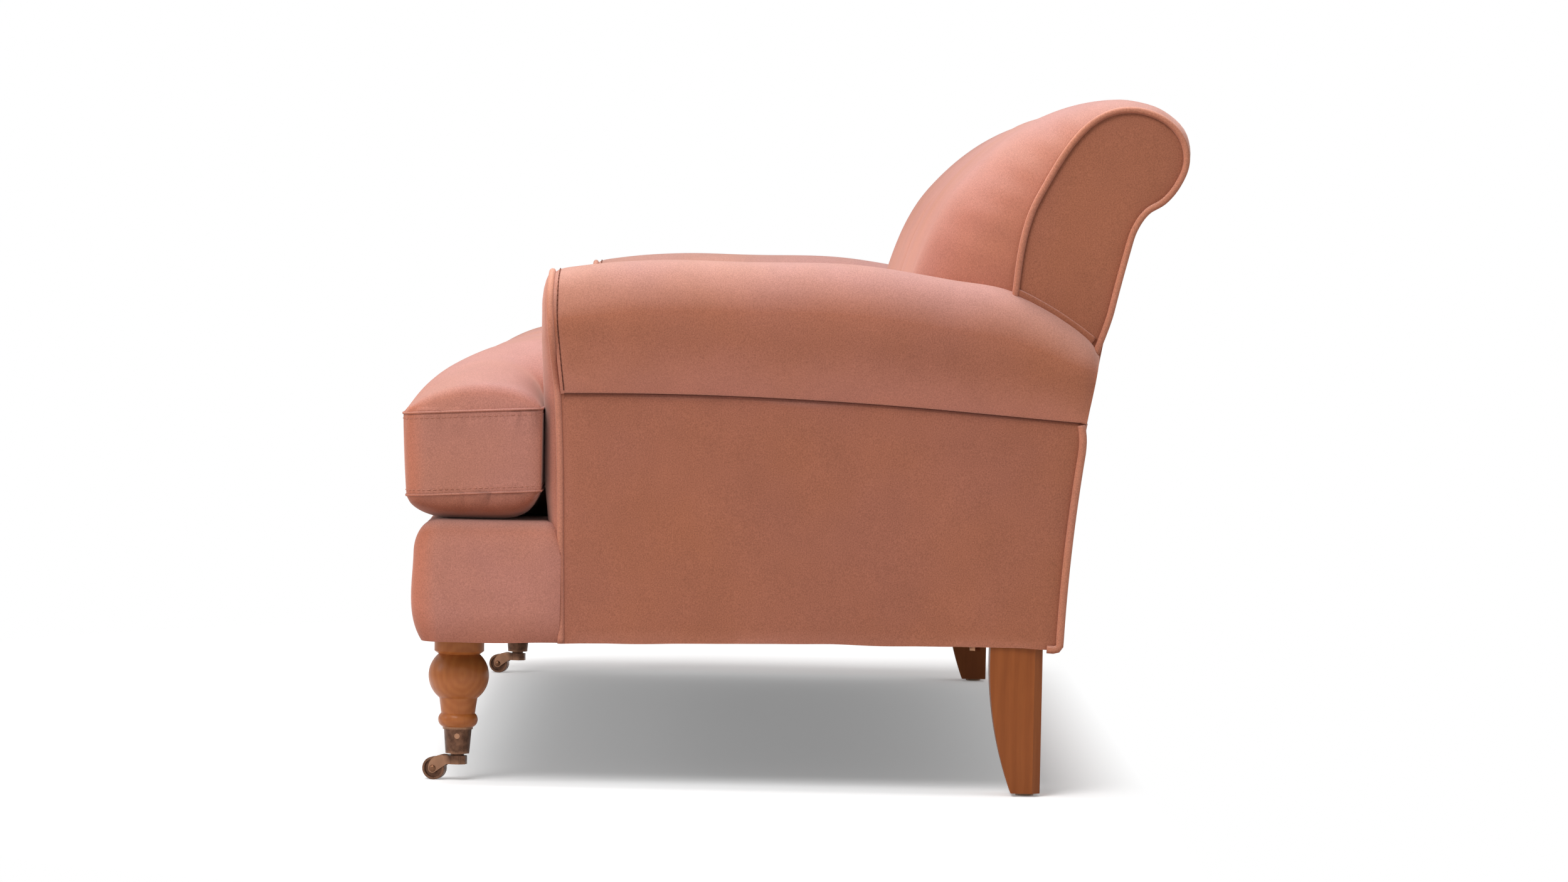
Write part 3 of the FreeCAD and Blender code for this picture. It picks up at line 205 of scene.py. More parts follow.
def resample(points, count):
    """The same curve with points at even distances."""
    pts = np.array(points, dtype=float)
    along = distances(pts)
    return taken_at(np.linspace(0, along[-1], count), along, pts)


def beside(value, *columns):
    """Points with one value for all of them first, then the given columns."""
    return np.column_stack([np.full(len(columns[0]), value), *columns])


def length_of(points):
    """Length of a run of points."""
    pts = np.array(points, dtype=float)
    return float(np.sum(np.linalg.norm(pts[1:] - pts[:-1], axis=1)))


WAVE_SPREAD = (0.6, 1.6)


def waves(a, b, seed, size, height, count=7):
    """A smooth uneven surface over two coordinates, about as high as asked and the same each run."""
    rng = np.random.default_rng(seed)
    total = np.zeros(np.broadcast(a, b).shape)
    for _ in range(count):
        angle = rng.uniform(0, 2 * math.pi)
        scale = 2 * math.pi / (size * rng.uniform(*WAVE_SPREAD))
        phase = rng.uniform(0, 2 * math.pi)
        total = total + np.sin((a * math.cos(angle) + b * math.sin(angle)) * scale + phase)
    return height * (total / math.sqrt(count))


def fading(distance, run):
    """A share that falls from 1 as the distance grows."""
    return np.exp(-distance / run)


def rising(distance, run):
    """A share that grows from 0 to 1 over a run."""
    return np.clip(distance / run, 0, 1)


# Outlines of the sofa

def circle_through(a, b, c):
    """Centre and radius of the circle through three points in a plane."""
    (ax, ay), (bx, by), (cx, cy) = a, b, c
    d = 2 * (ax * (by - cy) + bx * (cy - ay) + cx * (ay - by))
    fa = ax ** 2 + ay ** 2
    fb = bx ** 2 + by ** 2
    fc = cx ** 2 + cy ** 2
    ux = (fa * (by - cy) + fb * (cy - ay) + fc * (ay - by)) / d
    uy = (fa * (cx - bx) + fb * (ax - cx) + fc * (bx - ax)) / d
    return ux, uy, math.hypot(ax - ux, ay - uy)


BACK_BASE_Y = REAR_Y - BASE_RUN
BACK_CIRCLE = circle_through((BACK_BASE_Y, BASE_Z),
                             ((BACK_BASE_Y + NECK_Y) / 2 - BACK_BOW, (BASE_Z + NECK_Z) / 2),
                             (NECK_Y, NECK_Z))


def back_y(z, inset=0.0):
    """Where a surface that lies inset in front of the outside back is at a height."""
    cy, cz, radius = BACK_CIRCLE
    return cy - np.sqrt(radius ** 2 - (z - cz) ** 2) - inset


def back_outline(full, top, count):
    """Front, top and scroll of the back in the YZ plane, from the deck to the neck, by their fullness."""
    points = [(REAR_Y - mix(ENDS_SEAT, CROWN_SEAT, full), DECK_Z + SOFT_GAP)]
    for ends, crown, share in zip(BACK_ENDS, BACK_CROWN, (full, full, top, top)):
        points.append((REAR_Y - mix(ends[0], crown[0], share), TOP_Z - mix(ends[1], crown[1], share)))
    slack = 1 - top
    for (setback, drop), fade in zip(BACK_UNDER, UNDER_FADE):
        y = REAR_Y - setback - UNDER_INSET[0] * slack * fade
        points.append((y, TOP_Z - drop + UNDER_INSET[1] * slack * fade))
    points.append((NECK_Y, NECK_Z))
    return resample(spline(points, BACK_TURNS), count)


def base_z(y):
    """Lower edge of the covers on the sides and front."""
    return BASE_Z - np.interp(y, HEM_Y, HEM_DROP)


def read_from(points):
    """A function that reads a smooth curve through the points: the second coordinate by the first."""
    curve = spline(points)
    return lambda place: np.interp(place, curve[:, 0], curve[:, 1])


# Heights of the arm's crest and of the seam under its roll by Y, and the front piping's Y by height
crest_z = read_from(CREST)
seam_z = read_from(SEAM)
welt_y = read_from(FRONT_LEAN)


def arm_outline(y, count):
    """The arm's surface in the XZ plane at a station, from the inside foot over the roll to its seam."""
    seam = seam_z(y)
    crest = crest_z(y)
    waist = mix(seam, crest, ROLL_WAIST)
    fullness = min(1.0, (crest - seam) / (ARM_HEIGHT - SEAM_FRONT_Z))
    outer = (SIDE_X + ROLL_OVERHANG * fullness, waist)
    tuck = (SIDE_X - SEAM_TUCK, seam)
    over = spline([(ARM_IN, waist), (CREST_X, crest), outer, tuck], ROLL_TURNS)
    return resample(np.vstack([[(ARM_IN, DECK_Z + SOFT_GAP)], over]), count)


# Mesh helpers

def placed(name, data):
    """A new object in the scene."""
    obj = bpy.data.objects.new(name, data)
    bpy.context.scene.collection.objects.link(obj)
    return obj


def link(name, mesh, mat, body="root", sharp=None):
    """A new piece in the scene, with its material and body."""
    obj = placed(name, mesh)
    mesh.materials.clear()
    mesh.materials.append(mat)
    for face in mesh.polygons:
        face.use_smooth = True
    if sharp:
        mesh.set_sharp_from_angle(angle=math.radians(sharp))
    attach(obj, body)
    return obj


def build_mesh(name, verts, faces):
    """A mesh with its faces turned outwards."""
    mesh = bpy.data.meshes.new(name)
    mesh.from_pydata([tuple(map(float, v)) for v in verts], [], faces)
    bm = bmesh.new()
    bm.from_mesh(mesh)
    bmesh.ops.recalc_face_normals(bm, faces=bm.faces)
    bm.to_mesh(mesh)
    bm.free()
    return mesh


def ring_faces(rings, size, wrap=True, closed=False, caps=False):
    """Quads between rows of points. Wrap joins each row's ends, closed joins the last row to the first."""
    faces = []
    for r in range(rings if closed else rings - 1):
        here = r * size
        there = (r + 1) % rings * size
        for k in range(size if wrap else size - 1):
            after = (k + 1) % size
            faces.append((here + k, here + after, there + after, there + k))
    if caps:
        faces.append(tuple(range(size - 1, -1, -1)))
        faces.append(tuple((rings - 1) * size + k for k in range(size)))
    return faces


def panel_faces(rows, size):
    """Faces of a panel made of two grids of points, the second behind the first, closed round the rim."""
    count = rows * size
    faces = ring_faces(rows, size, wrap=False)
    faces += [tuple(count + k for k in face[::-1]) for face in faces]
    rim = list(range(size)) + [r * size + size - 1 for r in range(1, rows)]
    rim += [(rows - 1) * size + k for k in range(size - 2, -1, -1)]
    rim += [r * size for r in range(rows - 2, 0, -1)]
    return faces + [(a, b, count + b, count + a) for a, b in zip(rim, rim[1:] + rim[:1])]


def skin(name, rows):
    """A closed mesh from rows of closed outlines."""
    rows = np.array(rows, dtype=float)
    count, size = rows.shape[:2]
    return build_mesh(name, rows.reshape(-1, 3), ring_faces(count, size, caps=True))


def mirrored(mesh):
    """The same mesh on the sitter's right."""
    copy = mesh.copy()
    copy.name = mesh.name.replace("left", "right")
    copy.transform(Matrix.Scale(-1, 4, (1, 0, 0)))
    copy.flip_normals()
    return copy


def sides(*meshes):
    """Each side with its meshes: the given ones on the left and their mirror images on the right."""
    return ("left", *meshes), ("right", *[mirrored(mesh) for mesh in meshes])


def row_normals(rows, top):
    """Outward directions on a grid of points, turned so that the one at the top points up."""
    normal = np.cross(np.gradient(rows, axis=0), np.gradient(rows, axis=1))
    normal = normal / np.maximum(np.linalg.norm(normal, axis=2, keepdims=True), 1e-12)
    return -normal if normal[top][2] < 0 else normal


ASKEW = (0.31, 0.52, 0.79)


def tube_data(path, radius, around=10, closed=False, flat=1.0, up=None):
    """Points and faces of a round or flattened tube along a path."""
    pts = np.array(path, dtype=float)
    if closed:
        ahead = np.roll(pts, -1, axis=0) - np.roll(pts, 1, axis=0)
    else:
        ahead = np.gradient(pts, axis=0)
    ahead /= np.linalg.norm(ahead, axis=1, keepdims=True)
    if up is None:
        side = np.cross(ahead[0], ASKEW)
        side /= np.linalg.norm(side)
        sides_along = []
        for t in ahead:
            side = side - t * side.dot(t)
            side /= np.linalg.norm(side)
            sides_along.append(side)
        first = np.array(sides_along)
    else:
        first = np.array(up, dtype=float)
        first = first - ahead * np.sum(first * ahead, axis=1, keepdims=True)
        first /= np.maximum(np.linalg.norm(first, axis=1, keepdims=True), 1e-9)
    second = np.cross(ahead, first)
    verts = []
    for p, a, b in zip(pts, first, second):
        for k in range(around):
            turn = 2 * math.pi * k / around
            verts.append(p + radius * (a * math.cos(turn) * flat + b * math.sin(turn)))
    return verts, ring_faces(len(pts), around, closed=closed, caps=not closed)


def joined(name, parts):
    """One mesh from several lists of points and faces."""
    verts, faces = [], []
    for part_verts, part_faces in parts:
        base = len(verts)
        verts += list(part_verts)
        faces += [tuple(base + k for k in face) for face in part_faces]
    return build_mesh(name, verts, faces)


DASH_ALONG = np.array((0.0, 0.2, 0.8, 1.0))
DASH_RISE = np.array((-0.4, 1.0, 1.0, -0.4))[:, None]


def dashes(path, normals, length, gap, radius, lift):
    """Stitches along a path: short bars that lie on a surface."""
    pts = np.array(path, dtype=float)
    along = distances(pts)
    parts = []
    place = gap / 2
    while place + length < along[-1]:
        want = place + length * DASH_ALONG
        bar = taken_at(want, along, pts)
        out = taken_at(want, along, normals)
        parts.append(tube_data(bar + out * (DASH_RISE * lift), radius, around=5))
        place += length + gap
    return parts


# Materials

def node(tree, kind, **values):
    """A shader node. Values go by name: sockets are linked, the rest is set on an input or a property."""
    made = tree.nodes.new("ShaderNode" + kind)
    for key, value in values.items():
        name = key.replace("_", " ")
        if isinstance(value, bpy.types.NodeSocket):
            tree.links.new(value, made.inputs[name])
        elif name in made.inputs:
            made.inputs[name].default_value = value
        else:
            setattr(made, key, value)
    return made


def maths(tree, operation, *values):
    """A sum over one or two sockets."""
    made = node(tree, "Math", operation=operation)
    for value, socket in zip(values, made.inputs):
        tree.links.new(value, socket)
    return made.outputs[0]


def blend_colour(tree, factor, a, b, mode="MIX"):
    """A colour between two others. Each of factor, a and b is a socket or a value."""
    made = tree.nodes.new("ShaderNodeMix")
    made.data_type = "RGBA"
    made.blend_type = mode
    for index, value in ((0, factor), (6, a), (7, b)):
        if isinstance(value, bpy.types.NodeSocket):
            tree.links.new(value, made.inputs[index])
        elif index == 0:
            made.inputs[0].default_value = value
        else:
            made.inputs[index].default_value = (*value, 1.0)
    return made.outputs[2]


def span(tree, value, low, high, to_low, to_high):
    """A value mapped from one range to another and clamped."""
    made = node(tree, "MapRange", Value=value, From_Min=low, From_Max=high, To_Min=to_low, To_Max=to_high)
    return made.outputs["Result"]


def tinted(tree, colour, value, low, high, dark, bright):
    """A colour made darker and brighter by a value."""
    shade = span(tree, value, low, high, dark, bright)
    grey = node(tree, "CombineColor", Red=shade, Green=shade, Blue=shade)
    return blend_colour(tree, 1.0, colour, grey.outputs["Color"], "MULTIPLY")


def start_material(name, **values):
    """A principled material with constants on its sockets, and the place of a point."""
    mat = bpy.data.materials.new(name)
    mat.use_nodes = True
    tree = mat.node_tree
    shader = tree.nodes["Principled BSDF"]
    for key, value in values.items():
        shader.inputs[key.replace("_", " ")].default_value = value
    place = node(tree, "TexCoord").outputs["Object"]
    return mat, tree, shader, place


def noise(tree, place, scale, detail=3.0, roughness=0.55, stretch=None):
    """Noise over the place of a point, stretched by axis where asked."""
    if stretch:
        place = node(tree, "Mapping", Vector=place, Scale=stretch).outputs["Vector"]
    made = node(tree, "TexNoise", Vector=place, Scale=scale, Detail=detail, Roughness=roughness)
    return made.outputs["Fac"]


def finish_shader(tree, shader, colour, heights, rough=None):
    """The colour, the roughness where it varies, and relief from heights with their strength and depth."""
    tree.links.new(colour, shader.inputs["Base Color"])
    if rough is not None:
        tree.links.new(rough, shader.inputs["Roughness"])
    under = {}
    for height, strength, depth in heights:
        made = node(tree, "Bump", Height=height, Strength=strength, Distance=depth, **under)
        under = {"Normal": made.outputs["Normal"]}
    tree.links.new(under["Normal"], shader.inputs["Normal"])


GATHER_ABOVE = 0.004
GATHER_RELIEF = (0.9, 0.007)


def gather_height(tree, place, seam, reach):
    """Upright folds that hang from a seam, in patches along it."""
    height = node(tree, "SeparateXYZ", Vector=place).outputs["Z"]
    below = span(tree, height, seam - reach, seam, 0.0, 1.0)
    above = span(tree, height, seam, seam + GATHER_ABOVE, 1.0, 0.0)
    folds = span(tree, noise(tree, place, 62.0, 0.0, 0.5, (1.0, 1.0, 0.10)), 0.30, 0.70, 0.0, 1.0)
    patch = span(tree, noise(tree, place, 11.0, 2.0, 0.5), 0.40, 0.62, 0.15, 1.0)
    pattern = maths(tree, "MULTIPLY", folds, patch)
    return maths(tree, "MULTIPLY", pattern, maths(tree, "MULTIPLY", below, above))


def velvet(name, base, top_highlight, front_light, side_shade, shade, sheen, level=0.28, gathers=()):
    """Velvet with painted light by the way a surface faces: a side shade, a lit front, a top highlight and an
    underside colour, with soft blotches and a fine speckle.
    """
    mat, tree, shader, place = start_material(
        name, Roughness=0.88, Sheen_Weight=sheen, Sheen_Roughness=0.42, Sheen_Tint=(0.95, 0.66, 0.58, 1.0),
        Specular_IOR_Level=0.12)
    normal = node(tree, "NewGeometry").outputs["Normal"]
    facing = node(tree, "SeparateXYZ", Vector=normal).outputs
    sideways = maths(tree, "ABSOLUTE", facing["X"])
    colour = base
    # Painted light: sideways faces take the painted side shade, front faces the painted front light, tops
    # from the level up the painted pink highlight, and undersides the shade colour, which is painted shade or
    # painted bounce light depending on the material.
    for lean, low, high, most, other in (
            (sideways, 0.55, 1.0, 0.65, side_shade), (facing["Y"], -0.15, -0.95, 0.75, front_light),
            (facing["Z"], level, 0.95, 0.85, top_highlight), (facing["Z"], -0.05, -0.8, 1.0, shade)):
        colour = blend_colour(tree, span(tree, lean, low, high, 0.0, most), colour, other)
    tone = span(tree, noise(tree, place, 4.2, 3.0, 0.5), 0.36, 0.64, 0.0, 1.0)
    colour = blend_colour(tree, 1.0, colour, blend_colour(tree, tone, OLIVE_CAST, ROSE_CAST), "MULTIPLY")
    blotch = noise(tree, place, 6.0, 5.0, 0.62)
    streak = noise(tree, place, 26.0, 3.0, 0.6)
    speckle = noise(tree, place, 620.0, 2.0, 0.7)
    colour = tinted(tree, colour, blotch, 0.3, 0.7, 0.945, 1.055)
    colour = tinted(tree, colour, streak, 0.3, 0.7, 0.97, 1.03)
    colour = tinted(tree, colour, speckle, 0.25, 0.75, 0.76, 1.24)
    heights = [(gather_height(tree, place, seam, reach), *GATHER_RELIEF) for seam, reach in gathers]
    finish_shader(tree, shader, colour, heights + [(streak, 0.055, 0.0006), (speckle, 0.22, 0.0006)])
    return mat


def wood(name, dark, mid, light, across, scale, coat, tilt=0.0, draw=0.34):
    """Stained timber: growth rings about an axis beside the piece, drawn out along Z."""
    mat, tree, shader, place = start_material(
        name, Roughness=0.45, Coat_Weight=coat, Coat_Roughness=0.22, Specular_IOR_Level=0.12)
    drawn = node(tree, "Mapping", Vector=place, Location=across, Rotation=(0.0, tilt, 0.0),
                 Scale=(1.0, 1.0, draw))
    rings = node(tree, "TexWave", wave_type="RINGS", rings_direction="Z", Vector=drawn.outputs["Vector"],
                 Scale=scale, Distortion=2.2, Detail=3.0, Detail_Scale=1.4)
    fibre = noise(tree, place, 260.0, 4.0, 0.65, (1.0, 1.0, 0.06))
    cloud = noise(tree, place, 22.0, 3.0, 0.6, (1.0, 1.0, 0.45))
    colour = blend_colour(tree, span(tree, rings.outputs["Fac"], 0.1, 0.95, 0.2, 0.8), mid, light)
    colour = blend_colour(tree, span(tree, fibre, 0.42, 0.75, 0.0, 0.26), colour, dark)
    colour = blend_colour(tree, span(tree, cloud, 0.45, 0.8, 0.0, 0.26), colour, dark)
    rough = span(tree, fibre, 0.3, 0.7, 0.36, 0.5)
    finish_shader(tree, shader, colour, ((fibre, 0.08, 0.0004),), rough)
    return mat


def metal(name, deep, mid, worn, rough, shine=1.0):
    """Aged metal: patchy tone, worn brighter on the edges."""
    mat, tree, shader, place = start_material(name, Metallic=shine)
    patch = noise(tree, place, 90.0, 5.0, 0.65)
    grain = noise(tree, place, 700.0, 2.0, 0.6)
    edge = node(tree, "NewGeometry").outputs["Pointiness"]
    colour = blend_colour(tree, span(tree, patch, 0.35, 0.68, 0.0, 1.0), deep, mid)
    colour = blend_colour(tree, span(tree, edge, 0.53, 0.66, 0.0, 0.8), colour, worn)
    uneven = span(tree, patch, 0.3, 0.7, rough + 0.08, rough - 0.08)
    finish_shader(tree, shader, colour, ((grain, 0.12, 0.0003),), uneven)
    return mat


def cloth(name, low, high, thread, rough):
    """Plain woven cloth from two crossing sets of threads."""
    mat, tree, shader, place = start_material(name, Roughness=rough, Specular_IOR_Level=0.15)
    threads = [node(tree, "TexWave", bands_direction=way, Vector=place, Scale=thread, Distortion=0.6,
                    Detail=1.0) for way in ("X", "Y")]
    weave = maths(tree, "MULTIPLY", *[wave.outputs["Fac"] for wave in threads])
    colour = blend_colour(tree, weave, low, high)
    colour = tinted(tree, colour, noise(tree, place, 8.0, 4.0), 0.3, 0.7, 0.85, 1.1)
    finish_shader(tree, shader, colour, ((weave, 0.25, 0.0005),))
    return mat


OLIVE_CAST = (1.02, 1.00, 0.93)
ROSE_CAST = (0.99, 0.995, 1.06)
LEG_RING_Y = 0.413
# The two rose velvets are one cloth under different painted light. The pink is a painted top highlight, the
# orange a painted front light and the brown a painted side shade, greyer rather than darker in VELVET_LIGHT.
# VELVET's underside colour is lighter than its base, painted bounce light from the floor; VELVET_LIGHT's is
# dark, painted shade under the cushions and border, and its top highlight starts higher.
VELVET = velvet("rose_velvet", (0.360, 0.133, 0.088), (0.425, 0.238, 0.206), (0.445, 0.176, 0.123),
                (0.272, 0.0975, 0.053), (0.425, 0.168, 0.110), 0.35)
VELVET_LIGHT = velvet("rose_velvet_light", (0.390, 0.142, 0.092), (0.412, 0.218, 0.186),
                      (0.425, 0.136, 0.078), (0.364, 0.163, 0.125), (0.20, 0.056, 0.030), 0.35, 0.45,
                      ((TOP_SEAM_Z, 0.034), (LOW_SEAM_Z, 0.026)))
# The piping is the same velvet painted lighter and pinker: a painted highlight on the raised cords, also used
# for the seat stitches.
HIGHLIT_PIPING = velvet("piping_velvet", (0.420, 0.168, 0.110), (0.520, 0.270, 0.215), (0.450, 0.170, 0.105),
                (0.400, 0.158, 0.102), (0.28, 0.092, 0.054), 0.35)
# Dark thread, also used for cords that are painted shade in the arm's seams and creases.
THREAD_AND_SHADE = velvet("seam_thread", (0.12, 0.040, 0.026), (0.17, 0.065, 0.046), (0.14, 0.045, 0.027),
                (0.105, 0.034, 0.022), (0.08, 0.025, 0.016), 0.05)
LEG_WOOD = wood("honey_wood", (0.220, 0.058, 0.014), (0.325, 0.094, 0.023), (0.385, 0.124, 0.032),
                (-0.546, LEG_RING_Y, 0.0), 36.0, 0.22, 1.1, 0.8)
REAR_WOOD = wood("rear_leg_wood", (0.150, 0.037, 0.009), (0.235, 0.062, 0.0145), (0.285, 0.082, 0.020),
                 (-0.905, 0.50, 0.0), 21.0, 0.08)
FRAME_WOOD = wood("frame_wood", (0.30, 0.18, 0.09), (0.52, 0.36, 0.20), (0.62, 0.46, 0.28),
                  (0.2, 0.3, 0.0), 14.0, 0.0)
BRASS = metal("antique_brass", (0.058, 0.027, 0.016), (0.148, 0.071, 0.042), (0.38, 0.20, 0.118), 0.42, 0.85)
SCREW = metal("screw_brass", (0.12, 0.056, 0.031), (0.22, 0.108, 0.061), (0.40, 0.22, 0.135), 0.38)
COPPER = metal("bolt_copper", (0.20, 0.085, 0.045), (0.34, 0.155, 0.085), (0.60, 0.34, 0.20), 0.40)
STEEL = metal("spring_steel", (0.20, 0.20, 0.20), (0.38, 0.38, 0.38), (0.6, 0.6, 0.6), 0.38)
DUST = cloth("dust_cloth", (0.006, 0.006, 0.007), (0.018, 0.017, 0.017), 420.0, 0.95)
DECK = cloth("deck_cloth", (0.24, 0.115, 0.085), (0.34, 0.17, 0.13), 380.0, 0.92)
WEB = cloth("jute_webbing", (0.30, 0.22, 0.12), (0.48, 0.37, 0.22), 300.0, 0.9)


def glide_plastic():
    """Pale moulded nylon with a scuffed surface."""
    mat, tree, shader, place = start_material("glide_plastic", Roughness=0.5)
    scuff = noise(tree, place, 180.0, 4.0)
    worn = span(tree, scuff, 0.35, 0.7, 0.0, 1.0)
    colour = blend_colour(tree, worn, (0.60, 0.42, 0.28), (0.44, 0.29, 0.18))
    rough = span(tree, scuff, 0.3, 0.7, 0.4, 0.6)
    finish_shader(tree, shader, colour, ((scuff, 0.1, 0.0003),), rough)
    return mat


GLIDE = glide_plastic()

# Finishes of the frame's own nodes
FINISHES = (
    (FRAME_WOOD, ("front_rail", "rear_rail", "side_rail", "cross_rails", "corner_blocks", "back_post",
                  "back_centre_post", "back_top_rail", "back_lower_rail", "arm_top_rail", "arm_front_post")),
    (STEEL, ("seat_springs", "spring_clips", "leg_studs")), (DUST, ("dust_cover",)), (WEB, ("back_webbing",)),
    (LEG_WOOD, ("front_leg",)), (REAR_WOOD, ("rear_leg",)), (COPPER, ("frame_bolts",)),
    (BRASS, ("caster_socket", "caster_horn", "caster_wheel")),
    (SCREW, ("caster_axle", "caster_screws", "bolt_washers")), (GLIDE, ("rear_glides",)),
)


def finish_nodes():
    """Give each node that stays its material."""
    finish = {name: mat for mat, names in FINISHES for name in names}
    for name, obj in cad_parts.items():
        stem = name.removesuffix("_left").removesuffix("_right")
        if stem in finish:
            obj.data.materials.clear()
            obj.data.materials.append(finish[stem])


finish_nodes()


# Padded back

BACK_STATIONS = ((0.0012, 0.020, 5), (0.030, 0.940, 96), (0.948, PAD_END_X, 8))
BACK_POINTS = 120
BACK_MIDDLE = (50, 60)
FRONT_POWER = 2.4
TOP_POWER = 6
BACK_TUCK = 0.010
SOFT_END = 0.03
SOFT_SEAM = 0.012


def back_rows():
    """Outlines of the left half of the inside back, from the centre seam to the end panel."""
    x = np.concatenate([np.linspace(*part) for part in BACK_STATIONS])
    rows = []
    for place in x:
        full = 1.0
        top = 1.0
        if place < SEAM_RUN:
            full = 1 - SEAM_DIP * (1 - place / SEAM_RUN) ** 2
            top = full
        if place > PAD_END_X - END_RUN:
            close = (place - PAD_END_X + END_RUN) / END_RUN
            full = 1 - close ** FRONT_POWER
            top = 1 - close ** TOP_POWER
        outline = back_outline(full, top, BACK_POINTS)
        rows.append(beside(place, outline))
    rows = np.array(rows)
    normal = row_normals(rows, BACK_MIDDLE)
    along = np.linspace(0, length_of(rows[BACK_MIDDLE[0]]), BACK_POINTS)[None, :]
    place = x[:, None]
    to_end = PAD_END_X - place
    ends = np.minimum(1.0, np.minimum(to_end / SOFT_END, place / SOFT_SEAM))
    soft = waves(place, along, seed=11, size=0.34, height=0.0013) * ends
    pucker = waves(place * 0.2, along, seed=12, size=0.055, height=0.0011) * fading(to_end, run=0.045)
    pucker += waves(place * 0.25, along, seed=13, size=0.085, height=0.0015) * fading(place, run=0.050)
    tuck = -BACK_TUCK * fading(place, run=0.007)
    foot = rising(along, run=0.05) * rising(along[0, -1] - along, run=0.05)
    rows = rows + normal * ((soft + pucker * ends) * foot + tuck * foot)[:, :, None]
    inner_z = np.linspace(NECK_Z, DECK_Z + SOFT_GAP, 7)
    inner = np.column_stack([back_y(inner_z, PAD_INSET), inner_z])
    return [np.vstack([row, beside(row[0, 0], inner)]) for row in rows]


def make_back():
    """Both padded halves of the inside back."""
    for side, mesh in sides(skin("padded_back_left", back_rows())):
        piece = link(f"padded_back_{side}", mesh, VELVET, sharp=50)
        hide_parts(f"inside_back_pad_{side}")


# Arms

ARM_STATIONS = ((ARM_FRONT_Y + 0.0025, ARM_FRONT_Y + 0.02, 6), (ARM_FRONT_Y + 0.03, 0.315, 52),
                (0.319, 0.395, 20))
ARM_POINTS = 90
ARM_MIDDLE = (20, 55)
FRONT_TUCK = 0.0034
REAR_TUCK = 0.008
ROLL_SETBACK = 0.0040
REAR_GAP = 0.002
ARM_CUT_TOP = 0.580
SEWN_POINTS = slice(8, -1)
SHADE_LINE_LIFT = 0.0002


def arm_rows():
    """Outlines of the left arm from its front to past the outside back, and the stitches at its front with a
    dark cord of painted seam shade along them.
    """
    stations = np.concatenate([[ARM_FRONT_Y]] + [np.linspace(*part) for part in ARM_STATIONS])
    rows = []
    for y in stations:
        outline = arm_outline(y, ARM_POINTS)
        rows.append(np.column_stack([outline[:, 0], np.full(len(outline), y), outline[:, 1]]))
    rows = np.array(rows)
    normal = row_normals(rows, ARM_MIDDLE)
    over = np.linspace(0, length_of(rows[ARM_MIDDLE[0]]), ARM_POINTS)[None, :]
    along = stations[:, None] - ARM_FRONT_Y
    edge = rising(over, run=0.04) * rising(over[0, -1] - over, run=0.03)
    pull = waves(along * 0.2, over, seed=22, size=0.06, height=0.0016) * fading(along, run=0.05)
    soft = waves(along, over, seed=21, size=0.30, height=0.0016)
    to_back = np.maximum(0.0, back_y(rows[:, :, 2], REAR_GAP) - rows[:, :, 1])
    tuck = -FRONT_TUCK * fading(along, run=0.0045) - REAR_TUCK * fading(to_back, run=0.009)
    rows = rows + normal * ((soft + pull + tuck) * edge)[:, :, None]
    rows[:, :, 1] += (welt_y(rows[:, :, 2]) + ROLL_SETBACK - ARM_FRONT_Y) * fading(along, run=0.06)
    course = mix(rows[1], rows[2], 0.5)[SEWN_POINTS]
    out = row_normals(rows, ARM_MIDDLE)[1, SEWN_POINTS]
    sewn = dashes(course, out, length=0.0040, gap=0.0030, radius=0.0006, lift=0.0011)
    # A dark cord along the stitches: painted shade in the valley behind the front piping.
    sewn.append(tube_data(course + out * SHADE_LINE_LIFT, radius=0.0007, around=6))
    closed = []
    wall = ARM_IN + INNER_WALL
    for row, y in zip(rows, stations):
        seam = row[-1, 2]
        inside = [(wall, y, z) for z in (seam, mix(seam, DECK_Z, 0.5), DECK_Z + SOFT_GAP)]
        closed.append(np.vstack([row, inside]))
    return closed, sewn


def make_arms():
    """Rolled arms, trimmed flush with the outside back, with a line of stitches behind the front piping and a
    dark cord along it, painted shade in the seam.
    """
    rows, sewn = arm_rows()
    left = skin("rolled_arm_left", rows)
    bm = bmesh.new()
    bm.from_mesh(left)
    low, high = [Vector((0, float(back_y(z)) - REAR_GAP, z)) for z in (SEAM_REAR_Z, ARM_CUT_TOP)]
    along = (high - low).normalized()
    across = Vector((0, along.z, -along.y))
    cut = bmesh.ops.bisect_plane(bm, geom=bm.verts[:] + bm.edges[:] + bm.faces[:], plane_co=low,
                                 plane_no=across, clear_outer=True)
    edges = [item for item in cut["geom_cut"] if isinstance(item, bmesh.types.BMEdge)]
    bmesh.ops.contextual_create(bm, geom=edges)
    bmesh.ops.recalc_face_normals(bm, faces=bm.faces)
    bm.to_mesh(left)
    bm.free()
    for side, mesh, thread in sides(left, joined("arm_stitch_left", sewn)):
        piece = link(f"rolled_arm_{side}", mesh, VELVET, sharp=50)
        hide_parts(f"arm_roll_{side}")
        link(f"arm_stitch_{side}", thread, THREAD_AND_SHADE)


# Panels with a puffed face

PUFF_SHARES = (0.0, 0.08, 0.2, 0.4, 0.65, 0.93)


def puffed(outline, spine, to_world, thick, puff):
    """A flat panel whose face swells from its edge towards a spine, as points and faces."""
    outline = np.array(outline, dtype=float)
    spine = resample(spine, 120)
    near = np.array([spine[np.argmin(np.sum((spine - p) ** 2, axis=1))] for p in outline])
    rise = np.array([puff(p) for p in near])
    verts = [to_world(p[0], p[1], -thick) for p in outline]
    for share in PUFF_SHARES:
        level = math.sqrt(1 - (1 - share) ** 2)
        for p, m, h in zip(outline, near, rise):
            q = p + (m - p) * share
            verts.append(to_world(q[0], q[1], h * level))
    return verts, ring_faces(len(PUFF_SHARES) + 1, len(outline), caps=True)


